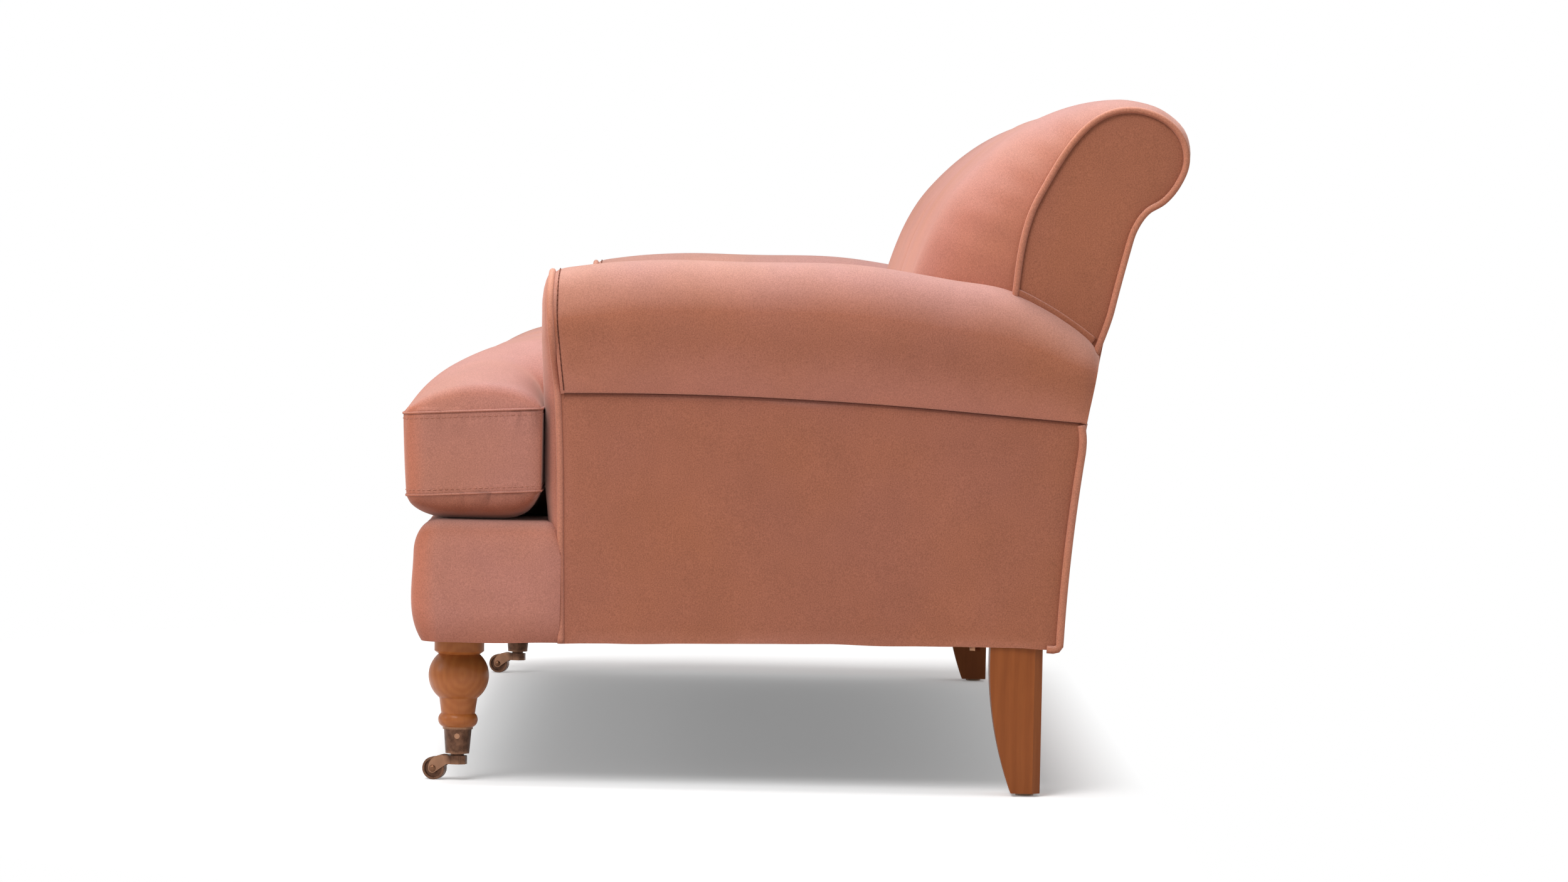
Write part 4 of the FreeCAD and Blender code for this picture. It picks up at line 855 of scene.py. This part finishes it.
FACING_EDGE = 0.004
FACING_STEM = 0.1455
FACING_INSET = 0.024
FACING_THICK = 0.008
PIPING_FOOT_Z = DECK_Z + 0.002
SPINE_FOOT = 0.03
SPINE_BEND = -0.10
SPINE_HEAD = (-0.02, 0.012)
PUFF_Z = (0.30, 0.38, 0.46, 0.56)
PUFF_Y = (-0.306, -0.3145, -0.3160, -0.3212)


def facing_points():
    """Corner points of the arm front: foot and neck outside, round head, neck and foot inside."""
    top = CREST[0][1] - FACING_EDGE
    bottom = SEAM_FRONT_Z + FACING_INSET
    outer = ARM_OUT - FACING_EDGE
    inner = ARM_IN + FACING_INSET
    cx = (inner + outer) / 2
    cz = (top + bottom) / 2
    stem_out = SIDE_X - FACING_EDGE
    stem_in = stem_out - FACING_STEM
    neck = bottom - FACING_INSET
    corners = [(stem_out, neck), (outer, cz), (cx, top), (inner, cz), (stem_in, neck)]
    head = spline(corners, {0: (0, 1), 4: (0, -1)})
    return head, stem_out, stem_in, cx, cz


def make_facings():
    """Padded scroll fronts of the arms and the piping round them."""
    head, stem_out, stem_in, cx, cz = facing_points()
    foot = RAIL_TOP + SOFT_GAP
    outer = resample([(stem_out, foot), head[0]], 20)
    inner = resample([head[-1], (stem_in, foot)], 20)
    outline = np.vstack([outer[:-1], resample(head, 90), inner[1:]])
    middle = (stem_out + stem_in) / 2
    spine = [(middle, foot + SPINE_FOOT), (middle, cz + SPINE_BEND)] + [(cx, cz + up) for up in SPINE_HEAD]
    left = build_mesh("scroll_front_left", *puffed(
        outline, spine, lambda x, z, h: (x, float(welt_y(z)) - h, z), FACING_THICK,
        lambda p: float(welt_y(p[1])) - np.interp(p[1], PUFF_Z, PUFF_Y)))
    path = np.vstack([resample([(stem_out, base_z(ARM_FRONT_Y)), head[0]], 50)[:-1], resample(head, 120),
                      resample([head[-1], (stem_in, PIPING_FOOT_Z)], 24)[1:]])
    path = np.column_stack([path[:, 0], welt_y(path[:, 1]), path[:, 1]])
    welt = build_mesh("front_piping_left", *tube_data(path, WELT_R, WELT_SIDES))
    for side, mesh, other in sides(left, welt):
        piece = link(f"scroll_front_{side}", mesh, VELVET, sharp=60)
        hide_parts(f"arm_facing_{side}")
        cord = link(f"front_piping_{side}", other, HIGHLIT_PIPING)
        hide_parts(f"arm_front_welt_{side}")


END_REAR_Z = 0.50
END_FOOT_Z = 0.54
LOOP_FOOT_Z = 0.60
END_SPINE = ((0.320, 0.56), (0.335, 0.66), (0.365, 0.74), (0.400, 0.785))
END_X = BACK_X - 0.002
END_THICK = 0.010
END_PUFF = 0.0035
LOOP_X = BACK_X + 0.0016
LOOP_PULL = 0.009 * np.linspace(0, 1, 16) ** 1.5
CORNER_X = SIDE_X - 0.003
CORNER_Z = np.linspace(BASE_Z + 0.004, SEAM_REAR_Z - 0.002, 40)
CORNER_INSET = 0.001
CORNER_WELT_R = WELT_R * 1.2
CORNER_PULL = (0.0004, 0.0012, 0.0026, 0.0046, 0.0070)
CORNER_TURN = ((0.016, -0.0005), (0.008, -0.001), (0.003, 0.0))
FOLD_Y = np.linspace(0.273, 0.372, 40)
FOLD_X = BACK_X + 0.0015
FOLD_RISE = 0.0010


def make_back_ends():
    """Flat end panels of the back, the piping round them and down the rear corners."""
    end = back_outline(0.0, 0.0, 160)
    rear_z = np.linspace(NECK_Z, END_REAR_Z, 40)
    rear = np.column_stack([back_y(rear_z), rear_z])
    outline = np.vstack([end[np.argmax(end[:, 1] > END_FOOT_Z):], rear[1:]])
    left = build_mesh("back_end_left", *puffed(
        outline, END_SPINE, lambda y, z, h: (END_X + h, y, z), END_THICK, lambda p: END_PUFF))
    loop = resample(np.vstack([end[np.argmax(end[:, 1] > LOOP_FOOT_Z):], rear[1:30]]), 170)
    loop = beside(LOOP_X, loop)
    loop[-len(LOOP_PULL):, 1] -= LOOP_PULL
    corner = beside(CORNER_X, back_y(CORNER_Z, CORNER_INSET), CORNER_Z)
    corner[-len(CORNER_PULL):, 1] -= CORNER_PULL
    turned = [(CORNER_X, corner[0, 1] - back, BASE_Z + up) for back, up in CORNER_TURN]
    corner = np.vstack([turned, corner])
    cords = ((loop, WELT_R), (corner, CORNER_WELT_R))
    welt = joined("back_piping_left", [tube_data(path, radius, WELT_SIDES) for path, radius in cords])
    hem = beside(FOLD_X, FOLD_Y, crest_z(FOLD_Y) + FOLD_RISE)
    sideways = np.tile((1, 0, 0), (len(FOLD_Y), 1))
    fold = build_mesh("back_hem_left", *tube_data(hem, radius=0.0050, flat=0.30, up=sideways))
    for side, panel, piping, strip in sides(left, welt, fold):
        piece = link(f"back_end_{side}", panel, VELVET, sharp=60)
        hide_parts(f"back_end_panel_{side}")
        cord = link(f"back_piping_{side}", piping, HIGHLIT_PIPING)
        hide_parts(f"back_end_welt_{side}")
        link(f"back_hem_{side}", strip, VELVET)


PANEL_ROWS = 34
PANEL_POINTS = 60
PANEL_REAR_Y = 0.34
PANEL_GAPS = (0.0028, 0.004, 0.0004)
PANEL_EDGE = 0.02
PANEL_UPRIGHT = 0.45
PANEL_HEM = 6
PANEL_SWELL = 0.0035
SWELL_POWER = 0.7
PANEL_ROUND = 0.0035
ROLL_SEAM_X = SIDE_X - 0.0008
ROLL_SEAM_Y = np.linspace(ARM_FRONT_Y, 0.357, 60)


def make_arm_panels():
    """Outside arms: thin padding over the frame below the roll, turned under at the base, with a thin dark
    cord of painted shade in the crease under the roll.
    """
    front_gap, rear_gap, seam_gap = PANEL_GAPS
    outer, inner = [], []
    for v in np.linspace(0, 1, PANEL_ROWS):
        for u in np.linspace(0, 1, PANEL_POINTS):
            y = mix(ARM_FRONT_Y, PANEL_REAR_Y, u)
            z = mix(base_z(y), seam_z(y) - seam_gap, v)
            y = mix(welt_y(z) + front_gap, back_y(z, rear_gap), u)
            edge = min(u, 1 - u, v * PANEL_UPRIGHT, (1 - v) * PANEL_UPRIGHT) / PANEL_EDGE
            edge = min(1.0, edge)
            round_in = PANEL_ROUND * (1 - math.sqrt(max(0.0, 1 - (1 - edge) ** 2)))
            swell = PANEL_SWELL * math.sin(math.pi * u) ** SWELL_POWER * math.sin(math.pi * v) ** SWELL_POWER
            ripple = waves(y, z, seed=31, size=0.17, height=0.0007)
            drop = waves(y, 0.0, seed=32, size=0.12, height=0.0010) * max(0.0, 1 - v * PANEL_HEM)
            outer.append((SIDE_X - SEAM_TUCK - round_in + swell + ripple * edge, y, z + drop))
            inner.append((FRAME_X + seam_gap, y, z))
    left = build_mesh("outside_arm_left", outer + inner, panel_faces(PANEL_ROWS, PANEL_POINTS))
    # A thin dark cord in the crease under the roll: painted shade.
    tuck = beside(ROLL_SEAM_X, ROLL_SEAM_Y, seam_z(ROLL_SEAM_Y))
    line = build_mesh("roll_seam_left", *tube_data(tuck, radius=0.0009, around=8))
    for side, panel, thread in sides(left, line):
        piece = link(f"outside_arm_{side}", panel, VELVET, sharp=60)
        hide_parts(f"outside_arm_panel_{side}")
        link(f"roll_seam_{side}", thread, THREAD_AND_SHADE)


REAR_STEP_Z = float(seam_z(back_y(SEAM_REAR_Z))) - 0.0008
REAR_HEIGHTS = [*np.linspace(BASE_Z, REAR_STEP_Z, 30), *np.linspace(REAR_STEP_Z + 0.0005, NECK_Z + 0.004, 24)]
REAR_NARROW_X = PAD_END_X + 0.010
REAR_EDGE = 0.012
REAR_ROUND = 0.002
REAR_THICK = 0.0076
REAR_UPRIGHT = 0.5
REAR_SWELL = 0.0015
REAR_POWERS = (6, 0.6)


def make_outside_back():
    """The bowed rear panel, wide below the arms and narrower between the end panels."""
    columns = np.linspace(-1, 1, 121)
    away = np.abs(columns)
    outer, inner = [], []
    for z in REAR_HEIGHTS:
        half = FRAME_X if z <= REAR_STEP_Z else REAR_NARROW_X
        v = (z - BASE_Z) / (NECK_Z - BASE_Z)
        x = columns * half
        level = np.full_like(x, z)
        edge = np.clip(np.minimum((1 - away) * half / REAR_EDGE, v * REAR_UPRIGHT / REAR_EDGE), 0, 1)
        upright = math.sin(math.pi * min(1.0, max(0.0, v))) ** REAR_POWERS[1]
        swell = REAR_SWELL * (1 - away ** REAR_POWERS[0]) * upright
        ripple = waves(x, level, seed=41, size=0.26, height=0.0012) * edge
        y = back_y(min(z, NECK_Z)) - REAR_ROUND * (1 - edge) + swell + ripple
        outer.append(np.column_stack([x, y, level]))
        inner.append(np.column_stack([x, np.full_like(x, back_y(min(z, NECK_Z), REAR_THICK)), level]))
    verts = np.array(outer + inner).reshape(-1, 3)
    mesh = build_mesh("outside_back", verts, panel_faces(len(REAR_HEIGHTS), len(columns)))
    piece = link("outside_back", mesh, VELVET, sharp=50)
    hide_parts("outside_back_panel")


# Front border and deck

BORDER_X = 1.040
BORDER_FRONT = FRONT_Y + 0.014
BORDER_BACK = -0.2900
BORDER_CORNER = 0.034
BORDER_END = 0.024
BORDER_STEP = 0.010
BORDER_HEM = 8
BORDER_SINK = 0.022
BULGE_Z = DECK_Z - 0.042
BORDER_TURNS = {1: (0, 1), 2: (-1, 0)}
FRONT_SECTION = ((-0.013, BASE_Z), (0.0, BULGE_Z), (-0.031, DECK_Z))
SIDE_SECTION = ((-0.004, BASE_Z), (0.0, BULGE_Z), (-0.026, DECK_Z))
BORDER_TAPER = 0.004
GATHER_HEIGHT = 0.0014
GATHER_RATE = 420
GATHER_START = 0.55
BORDER_IN = (FRONT_Y + 0.0345, FRONT_Y + 0.145)
LEDGE_X = 0.886
LEDGE_THICK = 0.0245
LIP_X = FRAME_X + 0.0005
LIP_Z = DECK_Z - 0.0250


def border_path():
    """Plan of the border from the left arm round the front to the right arm, with outward directions."""
    straight = BORDER_FRONT + BORDER_CORNER
    points, outward = [], []
    for y in [*np.linspace(BORDER_BACK, BORDER_BACK - BORDER_END, 8),
              *np.linspace(BORDER_BACK - BORDER_END - BORDER_STEP, straight, 11)]:
        points.append((BORDER_X, y))
        outward.append((1.0, 0.0))
    for turn in np.linspace(0, math.pi / 2, 12)[1:]:
        points.append((BORDER_X - BORDER_CORNER + BORDER_CORNER * math.cos(turn),
                       straight - BORDER_CORNER * math.sin(turn)))
        outward.append((math.cos(turn), -math.sin(turn)))
    for x in np.linspace(BORDER_X - BORDER_CORNER, 0, 84)[1:]:
        points.append((x, BORDER_FRONT))
        outward.append((0.0, -1.0))
    points += [(-x, y) for x, y in points[-2::-1]]
    outward += [(-x, y) for x, y in outward[-2::-1]]
    return np.array(points), np.array(outward)


def make_border():
    """The padded front edge, which runs on round the corners to the arms."""
    points, outward = border_path()
    front, side = [spline(section, BORDER_TURNS, steps=16) for section in (FRONT_SECTION, SIDE_SECTION)]
    rows = []
    for run, (px, py), (nx, ny) in zip(distances(points), points, outward):
        rear = max(0.0, 1 - (py - BORDER_BACK) / -BORDER_END)
        sink = BORDER_SINK * (1 - math.sqrt(max(0.0, 1 - rear ** 2)))
        corner = abs(nx * ny) * 2
        row = []
        for off, z in mix(side, front, abs(ny)):
            share = (z - BASE_Z) / (DECK_Z - BASE_Z)
            ripple = waves(run, z, seed=51, size=0.22, height=0.0016)
            gather = GATHER_HEIGHT * math.sin(run * GATHER_RATE) * corner * max(0.0, share - GATHER_START)
            sag = waves(run, 0.0, seed=52, size=0.16, height=0.0014) * max(0.0, 1 - share * BORDER_HEM)
            reach = off + ripple - BORDER_TAPER * rear ** 2 + gather
            hang = (BASE_Z - base_z(py)) * (1 - share) ** 3
            row.append((px + nx * reach, py + ny * reach, z + sag - sink * share ** 3 - hang))
        wall_y, ledge_y = [max(py, inner) for inner in BORDER_IN]
        ledge_x = np.clip(px, -LEDGE_X, LEDGE_X)
        wall_x = np.clip(px, -LIP_X, LIP_X)
        row += [(ledge_x, ledge_y, z) for z in (DECK_Z - sink, DECK_Z - LEDGE_THICK)]
        row += [(wall_x, wall_y, z) for z in (LIP_Z, BASE_Z)]
        rows.append(row)
    piece = link("border_front", skin("border_front", rows), VELVET_LIGHT, sharp=60)
    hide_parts("front_border")


# Heights above the deck's foot and from its top, each with how far the edge is set in
DECK_FOOT = ((0.0, 0.004), (0.004, 0.0))
DECK_EDGE = ((-0.006, 0.0), (-0.002, 0.0018), (-0.0002, 0.006), (-0.0004, 0.05), (-0.0014, 0.20))


def make_deck():
    """The platform under the cushions: a thin pad with soft edges."""
    low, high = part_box("deck_pad")
    rows = []
    levels = [(low.z + up, inset) for up, inset in DECK_FOOT]
    levels += [(high.z + up, inset) for up, inset in DECK_EDGE]
    for z, inset in levels:
        x0, x1 = low.x + inset, high.x - inset
        y0, y1 = low.y + inset, high.y - inset
        row = [(x, y0, z) for x in np.linspace(x0, x1, 41)[:-1]]
        row += [(x1, y, z) for y in np.linspace(y0, y1, 17)[:-1]]
        row += [(x, y1, z) for x in np.linspace(x1, x0, 41)[:-1]]
        row += [(x0, y, z) for y in np.linspace(y1, y0, 17)[:-1]]
        rows.append(row)
    piece = link("seat_deck", skin("seat_deck", rows), DECK, sharp=60)
    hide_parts("deck_pad")


# Seat cushions

def steps_between(a, b):
    """Grid lines from a to b, about one cell apart."""
    return np.linspace(a, b, max(2, int(round((b - a) / CELL)) + 1))


def finer_ends(lines):
    """Grid lines with closer ones beside the first and last, where the seams are."""
    steps = np.array(SEAM_STEPS)
    return np.unique(np.concatenate([lines, lines[0] + steps, lines[-1] - steps]))


def ease(t):
    """How a cushion's top rises from its edge: steep at first, then flat."""
    t = np.clip(t, 0.0, 1.0)
    return (1 - (1 - t) ** EASE_POWERS[0]) ** EASE_POWERS[1]


def crown_share(x, y, runs):
    """Share of the full crown at a place on the left cushion."""
    front, centre, ear, back, notch = runs
    x0, x1, x2 = CUSHION_X
    y0, y1, y2 = CUSHION_Y
    away = math.hypot(max(0.0, x1 - x), max(0.0, y1 - y))
    steep = math.sqrt(1 - (1 - min(1.0, (x2 - x) / SIDE_RUN)) ** 2)
    slow = math.sin(min(1.0, (x2 - x) / ear) * math.pi / 2)
    side = mix(slow, steep, SIDE_SHARE)
    share = ease((y - y0) / front) * ease((x - x0) / centre) * side
    return float(share * ease((y2 - y) / back) * ease(away / notch))


def round_corner(x, y, cx, cy, sx, sy, radius):
    """Move a point near a square corner so that the corner comes out round."""
    u = (x - (cx - sx * radius)) * sx / radius
    v = (y - (cy - sy * radius)) * sy / radius
    if u <= 0 or v <= 0:
        return x, y
    return (cx - sx * radius + sx * radius * u * math.sqrt(1 - v * v / 2),
            cy - sy * radius + sy * radius * v * math.sqrt(1 - u * u / 2))


def cushion_grid():
    """The left cushion before it is filled: points, faces, seam loops and the rows beside them."""
    x0, x1, x2 = CUSHION_X
    y0, y1, y2 = CUSHION_Y
    xs = finer_ends(np.concatenate([steps_between(x0, x1), steps_between(x1, x2)[1:]]))
    ys = finer_ends(np.concatenate([steps_between(y0, y1), steps_between(y1, y2)[1:]]))
    ix, iy = int(np.argmin(abs(xs - x1))), int(np.argmin(abs(ys - y1)))

    def used(i, j):
        return i <= ix or j <= iy

    corners = ((x0, y0, -1, -1), (x2, y0, 1, -1), (x2, y1, 1, 1), (x1, y2, 1, 1), (x0, y2, -1, 1))
    mid_x, mid_y = (x0 + x1) / 2, (y0 + y2) / 2

    def plan(i, j):
        x, y = xs[i], ys[j]
        for corner, radius in zip(corners, CORNER_RADII):
            x, y = round_corner(x, y, *corner, radius)
        in_x = START_INSET * min(1.0, abs(x - mid_x) / INSET_RUNS[0])
        in_y = START_INSET * min(1.0, abs(y - mid_y) / INSET_RUNS[1])
        return x + (in_x if x < mid_x else -in_x), y + (in_y if y < mid_y else -in_y)

    verts, faces, top, low = [], [], {}, {}
    for table, level in ((top, 1), (low, -1)):
        for i in range(len(xs)):
            for j in range(len(ys)):
                if used(i, j):
                    x, y = plan(i, j)
                    tilt = float(np.interp(y, TILT_Y, TILT_RISE))
                    table[i, j] = len(verts)
                    if level > 0:
                        share = crown_share(xs[i], ys[j], TOP_RUNS)
                        z = TOP_SEAM_Z + tilt + (CROWN_RISE * START_CROWN - tilt) * share
                    else:
                        share = crown_share(xs[i], ys[j], BELLY_RUNS)
                        y += LOW_BACK * max(0.0, 1 - (ys[j] - y0) / LOW_RUN)
                        z = mix(LOW_SEAM_Z + tilt, CUSHION_Z, share)
                    verts.append((x, y, z))
        for i in range(len(xs) - 1):
            for j in range(len(ys) - 1):
                if i < ix or j < iy:
                    face = (table[i, j], table[i + 1, j], table[i + 1, j + 1], table[i, j + 1])
                    faces.append(face if level > 0 else face[::-1])
    nx, ny = len(xs) - 1, len(ys) - 1
    loop = [(i, 0) for i in range(nx)] + [(nx, j) for j in range(iy)] + [(i, iy) for i in range(nx, ix, -1)]
    loop += [(ix, j) for j in range(iy, ny)] + [(i, ny) for i in range(ix, 0, -1)]
    loop += [(0, j) for j in range(ny, 0, -1)]
    rows = [[low[k] for k in loop]]
    for r in range(1, BOXING_ROWS):
        rows.append(list(range(len(verts), len(verts) + len(loop))))
        for k in loop:
            verts.append(tuple(mix(np.array(verts[low[k]]), np.array(verts[top[k]]), r / BOXING_ROWS)))
    rows.append([top[k] for k in loop])
    size = len(loop)
    for lower, upper in zip(rows, rows[1:]):
        for k in range(size):
            faces.append((lower[k], lower[(k + 1) % size], upper[(k + 1) % size], upper[k]))
    return np.array(verts), faces, rows, low


def fill_cushion(verts, faces, rows, low):
    """Fill the cushion with air as cloth, and hold it within the room that it has."""
    mesh = build_mesh("cushion_start", verts, faces)
    obj = placed("cushion_start", mesh)
    held = obj.vertex_groups.new(name="held")
    middle = [k for k in low.values() if verts[k][2] < CUSHION_Z + REST_BAND]
    held.add(middle + rows[0] + rows[-1], 1.0, "REPLACE")
    slack = obj.vertex_groups.new(name="full")
    low_z, high_z = TOP_SEAM_Z + FULL_BAND[0], TOP_SEAM_Z + FULL_BAND[1]
    slack.add([k for k, point in enumerate(verts) if low_z < point[2] < high_z], 1.0, "REPLACE")
    cloth_mod = obj.modifiers.new("fill", "CLOTH")
    for key, value in SIM_SETTINGS.items():
        setattr(cloth_mod.settings, key, value)
    cloth_mod.settings.effector_weights.gravity = 0.0
    cloth_mod.collision_settings.use_collision = False
    scene = bpy.context.scene
    for step in range(1, SIM_FRAMES + 1):
        scene.frame_set(step)
    ready = obj.evaluated_get(bpy.context.evaluated_depsgraph_get())
    moved = np.empty(len(verts) * 3)
    ready.data.vertices.foreach_get("co", moved)
    moved = moved.reshape(-1, 3)
    bpy.data.objects.remove(obj)
    scene.frame_set(1)
    shift = moved - verts
    far = np.linalg.norm(shift, axis=1, keepdims=True)
    cap = np.full((len(verts), 1), SIM_CAP)
    cap[[k for row in rows[1:-1] for k in row]] = BOXING_CAP
    cap[list(low.values())] = BELLY_CAP
    return verts + shift * np.minimum(1.0, cap / np.maximum(far, 1e-9))


def fit_in_room(points):
    """Flatten a cushion against the deck, the other cushion, the arm and the back."""
    x0, x1, x2 = CUSHION_X
    y0, y1, y2 = CUSHION_Y
    x, y, z = points[:, 0].copy(), points[:, 1].copy(), points[:, 2].copy()
    z = np.maximum(z, CUSHION_Z)
    x = np.maximum(x, x0)
    y = np.minimum(y, y2 + BACK_ROOM)
    inside = y > y1 + NOTCH_START
    x = np.where(inside & (x < x1 + NOTCH_REACH), np.minimum(x, x1 + NOTCH_ROOM), x)
    ear = x > x1 + NOTCH_ROOM + EAR_START
    y = np.where(ear, np.minimum(y, y1 - EAR_GAP), y)
    x = np.minimum(x, x2 + SIDE_ROOM)
    y = np.maximum(y, y0 - FRONT_ROOM)
    return np.column_stack([x, y, z])


def make_cushions():
    """Loose T cushions with boxing, seam lips and a line of stitches beside each seam."""
    verts, faces, rows, low = cushion_grid()
    points = fill_cushion(verts, faces, rows, low)
    points = fit_in_room(points)
    mesh = build_mesh("cushion_cage", points, faces)
    creases = mesh.attributes.new("crease_edge", "FLOAT", "EDGE")
    seam_points = set(rows[0]) | set(rows[-1])
    for edge in mesh.edges:
        if edge.vertices[0] in seam_points and edge.vertices[1] in seam_points:
            creases.data[edge.index].value = SEAM_CREASE
    holder = placed("cushion_holder", mesh)
    modifier = holder.modifiers.new("finer", "SUBSURF")
    modifier.levels = 1
    modifier.render_levels = 1
    graph = bpy.context.evaluated_depsgraph_get()
    fine = bpy.data.meshes.new_from_object(holder.evaluated_get(graph))
    fine.name = "cushion_left"
    bpy.data.objects.remove(holder)
    if "crease_edge" in fine.attributes:
        fine.attributes.remove(fine.attributes["crease_edge"])
    tree = BVHTree.FromPolygons([v.co.copy() for v in fine.vertices],
                                [tuple(p.vertices) for p in fine.polygons])
    lips, stitches = [], []
    for seam, next_row in ((rows[-1], rows[-2]), (rows[0], rows[1])):
        path, below = [resample([fine.vertices[k].co for k in row + row[:1]], SEAM_POINTS)[:-1]
                       for row in (seam, next_row)]
        lips.append(tube_data(path, LIP_R, around=8, closed=True))
        line, normal = [], []
        for a, b in zip(path, below):
            place, out, _, _ = tree.find_nearest(Vector(mix(a, b, STITCH_PLACE)))
            line.append(place)
            normal.append(out)
        stitches += dashes(np.array(line), np.array(normal), length=0.0046, gap=0.0026, radius=0.00055,
                           lift=0.0004)
    lip = joined("cushion_lip_left", lips)
    stitch = joined("cushion_stitch_left", stitches)
    for side, pad, edge, sewn in sides(fine, lip, stitch):
        body = f"cushion_{side}"
        piece = link(f"seat_pad_{side}", pad, VELVET_LIGHT, body)
        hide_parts(f"seat_cushion_cover_{side}", f"seat_cushion_core_{side}")
        link(f"seat_lip_{side}", edge, VELVET_LIGHT, body)
        link(f"seat_stitch_{side}", sewn, HIGHLIT_PIPING, body)


make_back()
make_arms()
make_facings()
make_back_ends()
make_arm_panels()
make_outside_back()
make_border()
make_deck()
make_cushions()


# Camera, floor and light

CAMERA_PLACE = (8.87, -0.037, 0.709)
CAMERA_LENS = 144.0
PITCH = math.radians(1.962)
YAW = math.radians(0.167)
ROLL = math.radians(1.2)


def make_camera():
    """A long lens level with the cushions, looking along -X at the sofa's left side."""
    data = bpy.data.cameras.new("camera")
    data.lens = CAMERA_LENS
    data.sensor_width = 36.0
    data.clip_end = 100.0
    obj = placed("camera", data)
    ahead = Vector((-math.cos(PITCH) * math.cos(YAW), math.cos(PITCH) * math.sin(YAW), -math.sin(PITCH)))
    level = ahead.cross(Vector((0, 0, 1))).normalized()
    upright = level.cross(ahead)
    right = level * math.cos(ROLL) + upright * math.sin(ROLL)
    up = upright * math.cos(ROLL) - level * math.sin(ROLL)
    turn = Matrix((right, up, -ahead)).transposed().to_4x4()
    obj.matrix_world = Matrix.Translation(CAMERA_PLACE) @ turn
    bpy.context.scene.camera = obj


def background_seen(tree):
    """1 where a camera, glossy or transmission ray sees the background, 0 for the light that it gives."""
    path = node(tree, "LightPath").outputs
    seen = maths(tree, "MAXIMUM", path["Is Camera Ray"], path["Is Glossy Ray"])
    return maths(tree, "MAXIMUM", seen, path["Is Transmission Ray"])


def shader_between(tree, factor, a, b):
    """A shader that goes from one node's to another's with a factor."""
    made = node(tree, "MixShader", Fac=factor)
    tree.links.new(a.outputs[0], made.inputs[1])
    tree.links.new(b.outputs[0], made.inputs[2])
    return made


WHITE = (1.0, 1.0, 1.0, 1.0)
FLOOR_REACH = 40.0
FLOOR_GREY = (0.80, 0.80, 0.80, 1.0)
FLOOR_GLOW = 0.22
WORLD_FILL = 0.42
SHADOW_ROOM = (1.9, 1.3)
SHADOW_FADE = (0.75, 1.25)
SHADOW_REAR = (0.33, 0.46)


def make_floor():
    """A white floor that keeps a grey shadow."""
    mesh = bpy.data.meshes.new("floor")
    corners = [(x * FLOOR_REACH, y * FLOOR_REACH, 0) for x, y in ((-1, -1), (1, -1), (1, 1), (-1, 1))]
    mesh.from_pydata(corners, [], [(0, 1, 2, 3)])
    mat = bpy.data.materials.new("floor")
    mat.use_nodes = True
    tree = mat.node_tree
    tree.nodes.clear()
    matt = node(tree, "BsdfDiffuse", Color=FLOOR_GREY)
    # The glow, seen by camera, glossy and transmission rays, lifts the floor's shadow to an even grey:
    # painted light.
    glow = node(tree, "Emission", Color=WHITE, Strength=FLOOR_GLOW)
    pale = node(tree, "BsdfDiffuse", Color=WHITE)
    lit = node(tree, "AddShader")
    tree.links.new(pale.outputs[0], lit.inputs[0])
    tree.links.new(glow.outputs[0], lit.inputs[1])
    white = node(tree, "Emission", Color=WHITE, Strength=1.0)
    # Beyond an oval round the sofa and behind its rear legs the floor turns plain white, which paints out the
    # shadow there.
    place = node(tree, "TexCoord").outputs["Object"]
    squeeze = node(tree, "Mapping", Vector=place, Scale=(1 / SHADOW_ROOM[0], 1 / SHADOW_ROOM[1], 0.0))
    away = node(tree, "VectorMath", operation="LENGTH", Vector=squeeze.outputs["Vector"]).outputs["Value"]
    behind = node(tree, "SeparateXYZ", Vector=place).outputs["Y"]
    clear = maths(tree, "MAXIMUM", span(tree, away, *SHADOW_FADE, 0.0, 1.0),
                  span(tree, behind, *SHADOW_REAR, 0.0, 1.0))
    surface = shader_between(tree, background_seen(tree), matt, shader_between(tree, clear, lit, white))
    node(tree, "OutputMaterial", Surface=surface.outputs[0])
    mesh.materials.append(mat)
    obj = placed("floor", mesh)


def make_world():
    """White where the background is seen, and an even soft light elsewhere."""
    world = bpy.data.worlds.new("studio")
    world.use_nodes = True
    tree = world.node_tree
    tree.nodes.clear()
    fill = node(tree, "Background", Color=WHITE, Strength=WORLD_FILL)
    white = node(tree, "Background", Color=WHITE, Strength=1.0)
    surface = shader_between(tree, background_seen(tree), fill, white)
    node(tree, "OutputWorld", Surface=surface.outputs[0])
    bpy.context.scene.world = world


def add_lamp(name, place, aim, size, watts):
    """A square soft box."""
    data = bpy.data.lights.new(name, "AREA")
    data.shape = "SQUARE"
    data.size = size
    data.energy = watts
    obj = placed(name, data)
    obj.location = place
    obj.rotation_euler = (Vector(aim) - Vector(place)).to_track_quat("-Z", "Y").to_euler()


make_camera()
make_floor()
make_world()
add_lamp("overhead", (0.5, -0.15, 3.4), (0.0, 0.0, 0.3), size=1.9, watts=107.0)
add_lamp("side", (3.6, -1.5, 3.5), (0.6, 0.0, 0.45), size=2.2, watts=114.0)
add_lamp("front", (1.44, -3.6, 1.48), (0.5, -0.3, 0.35), size=1.3, watts=17.0)

bpy.context.scene.view_settings.view_transform = "Standard"
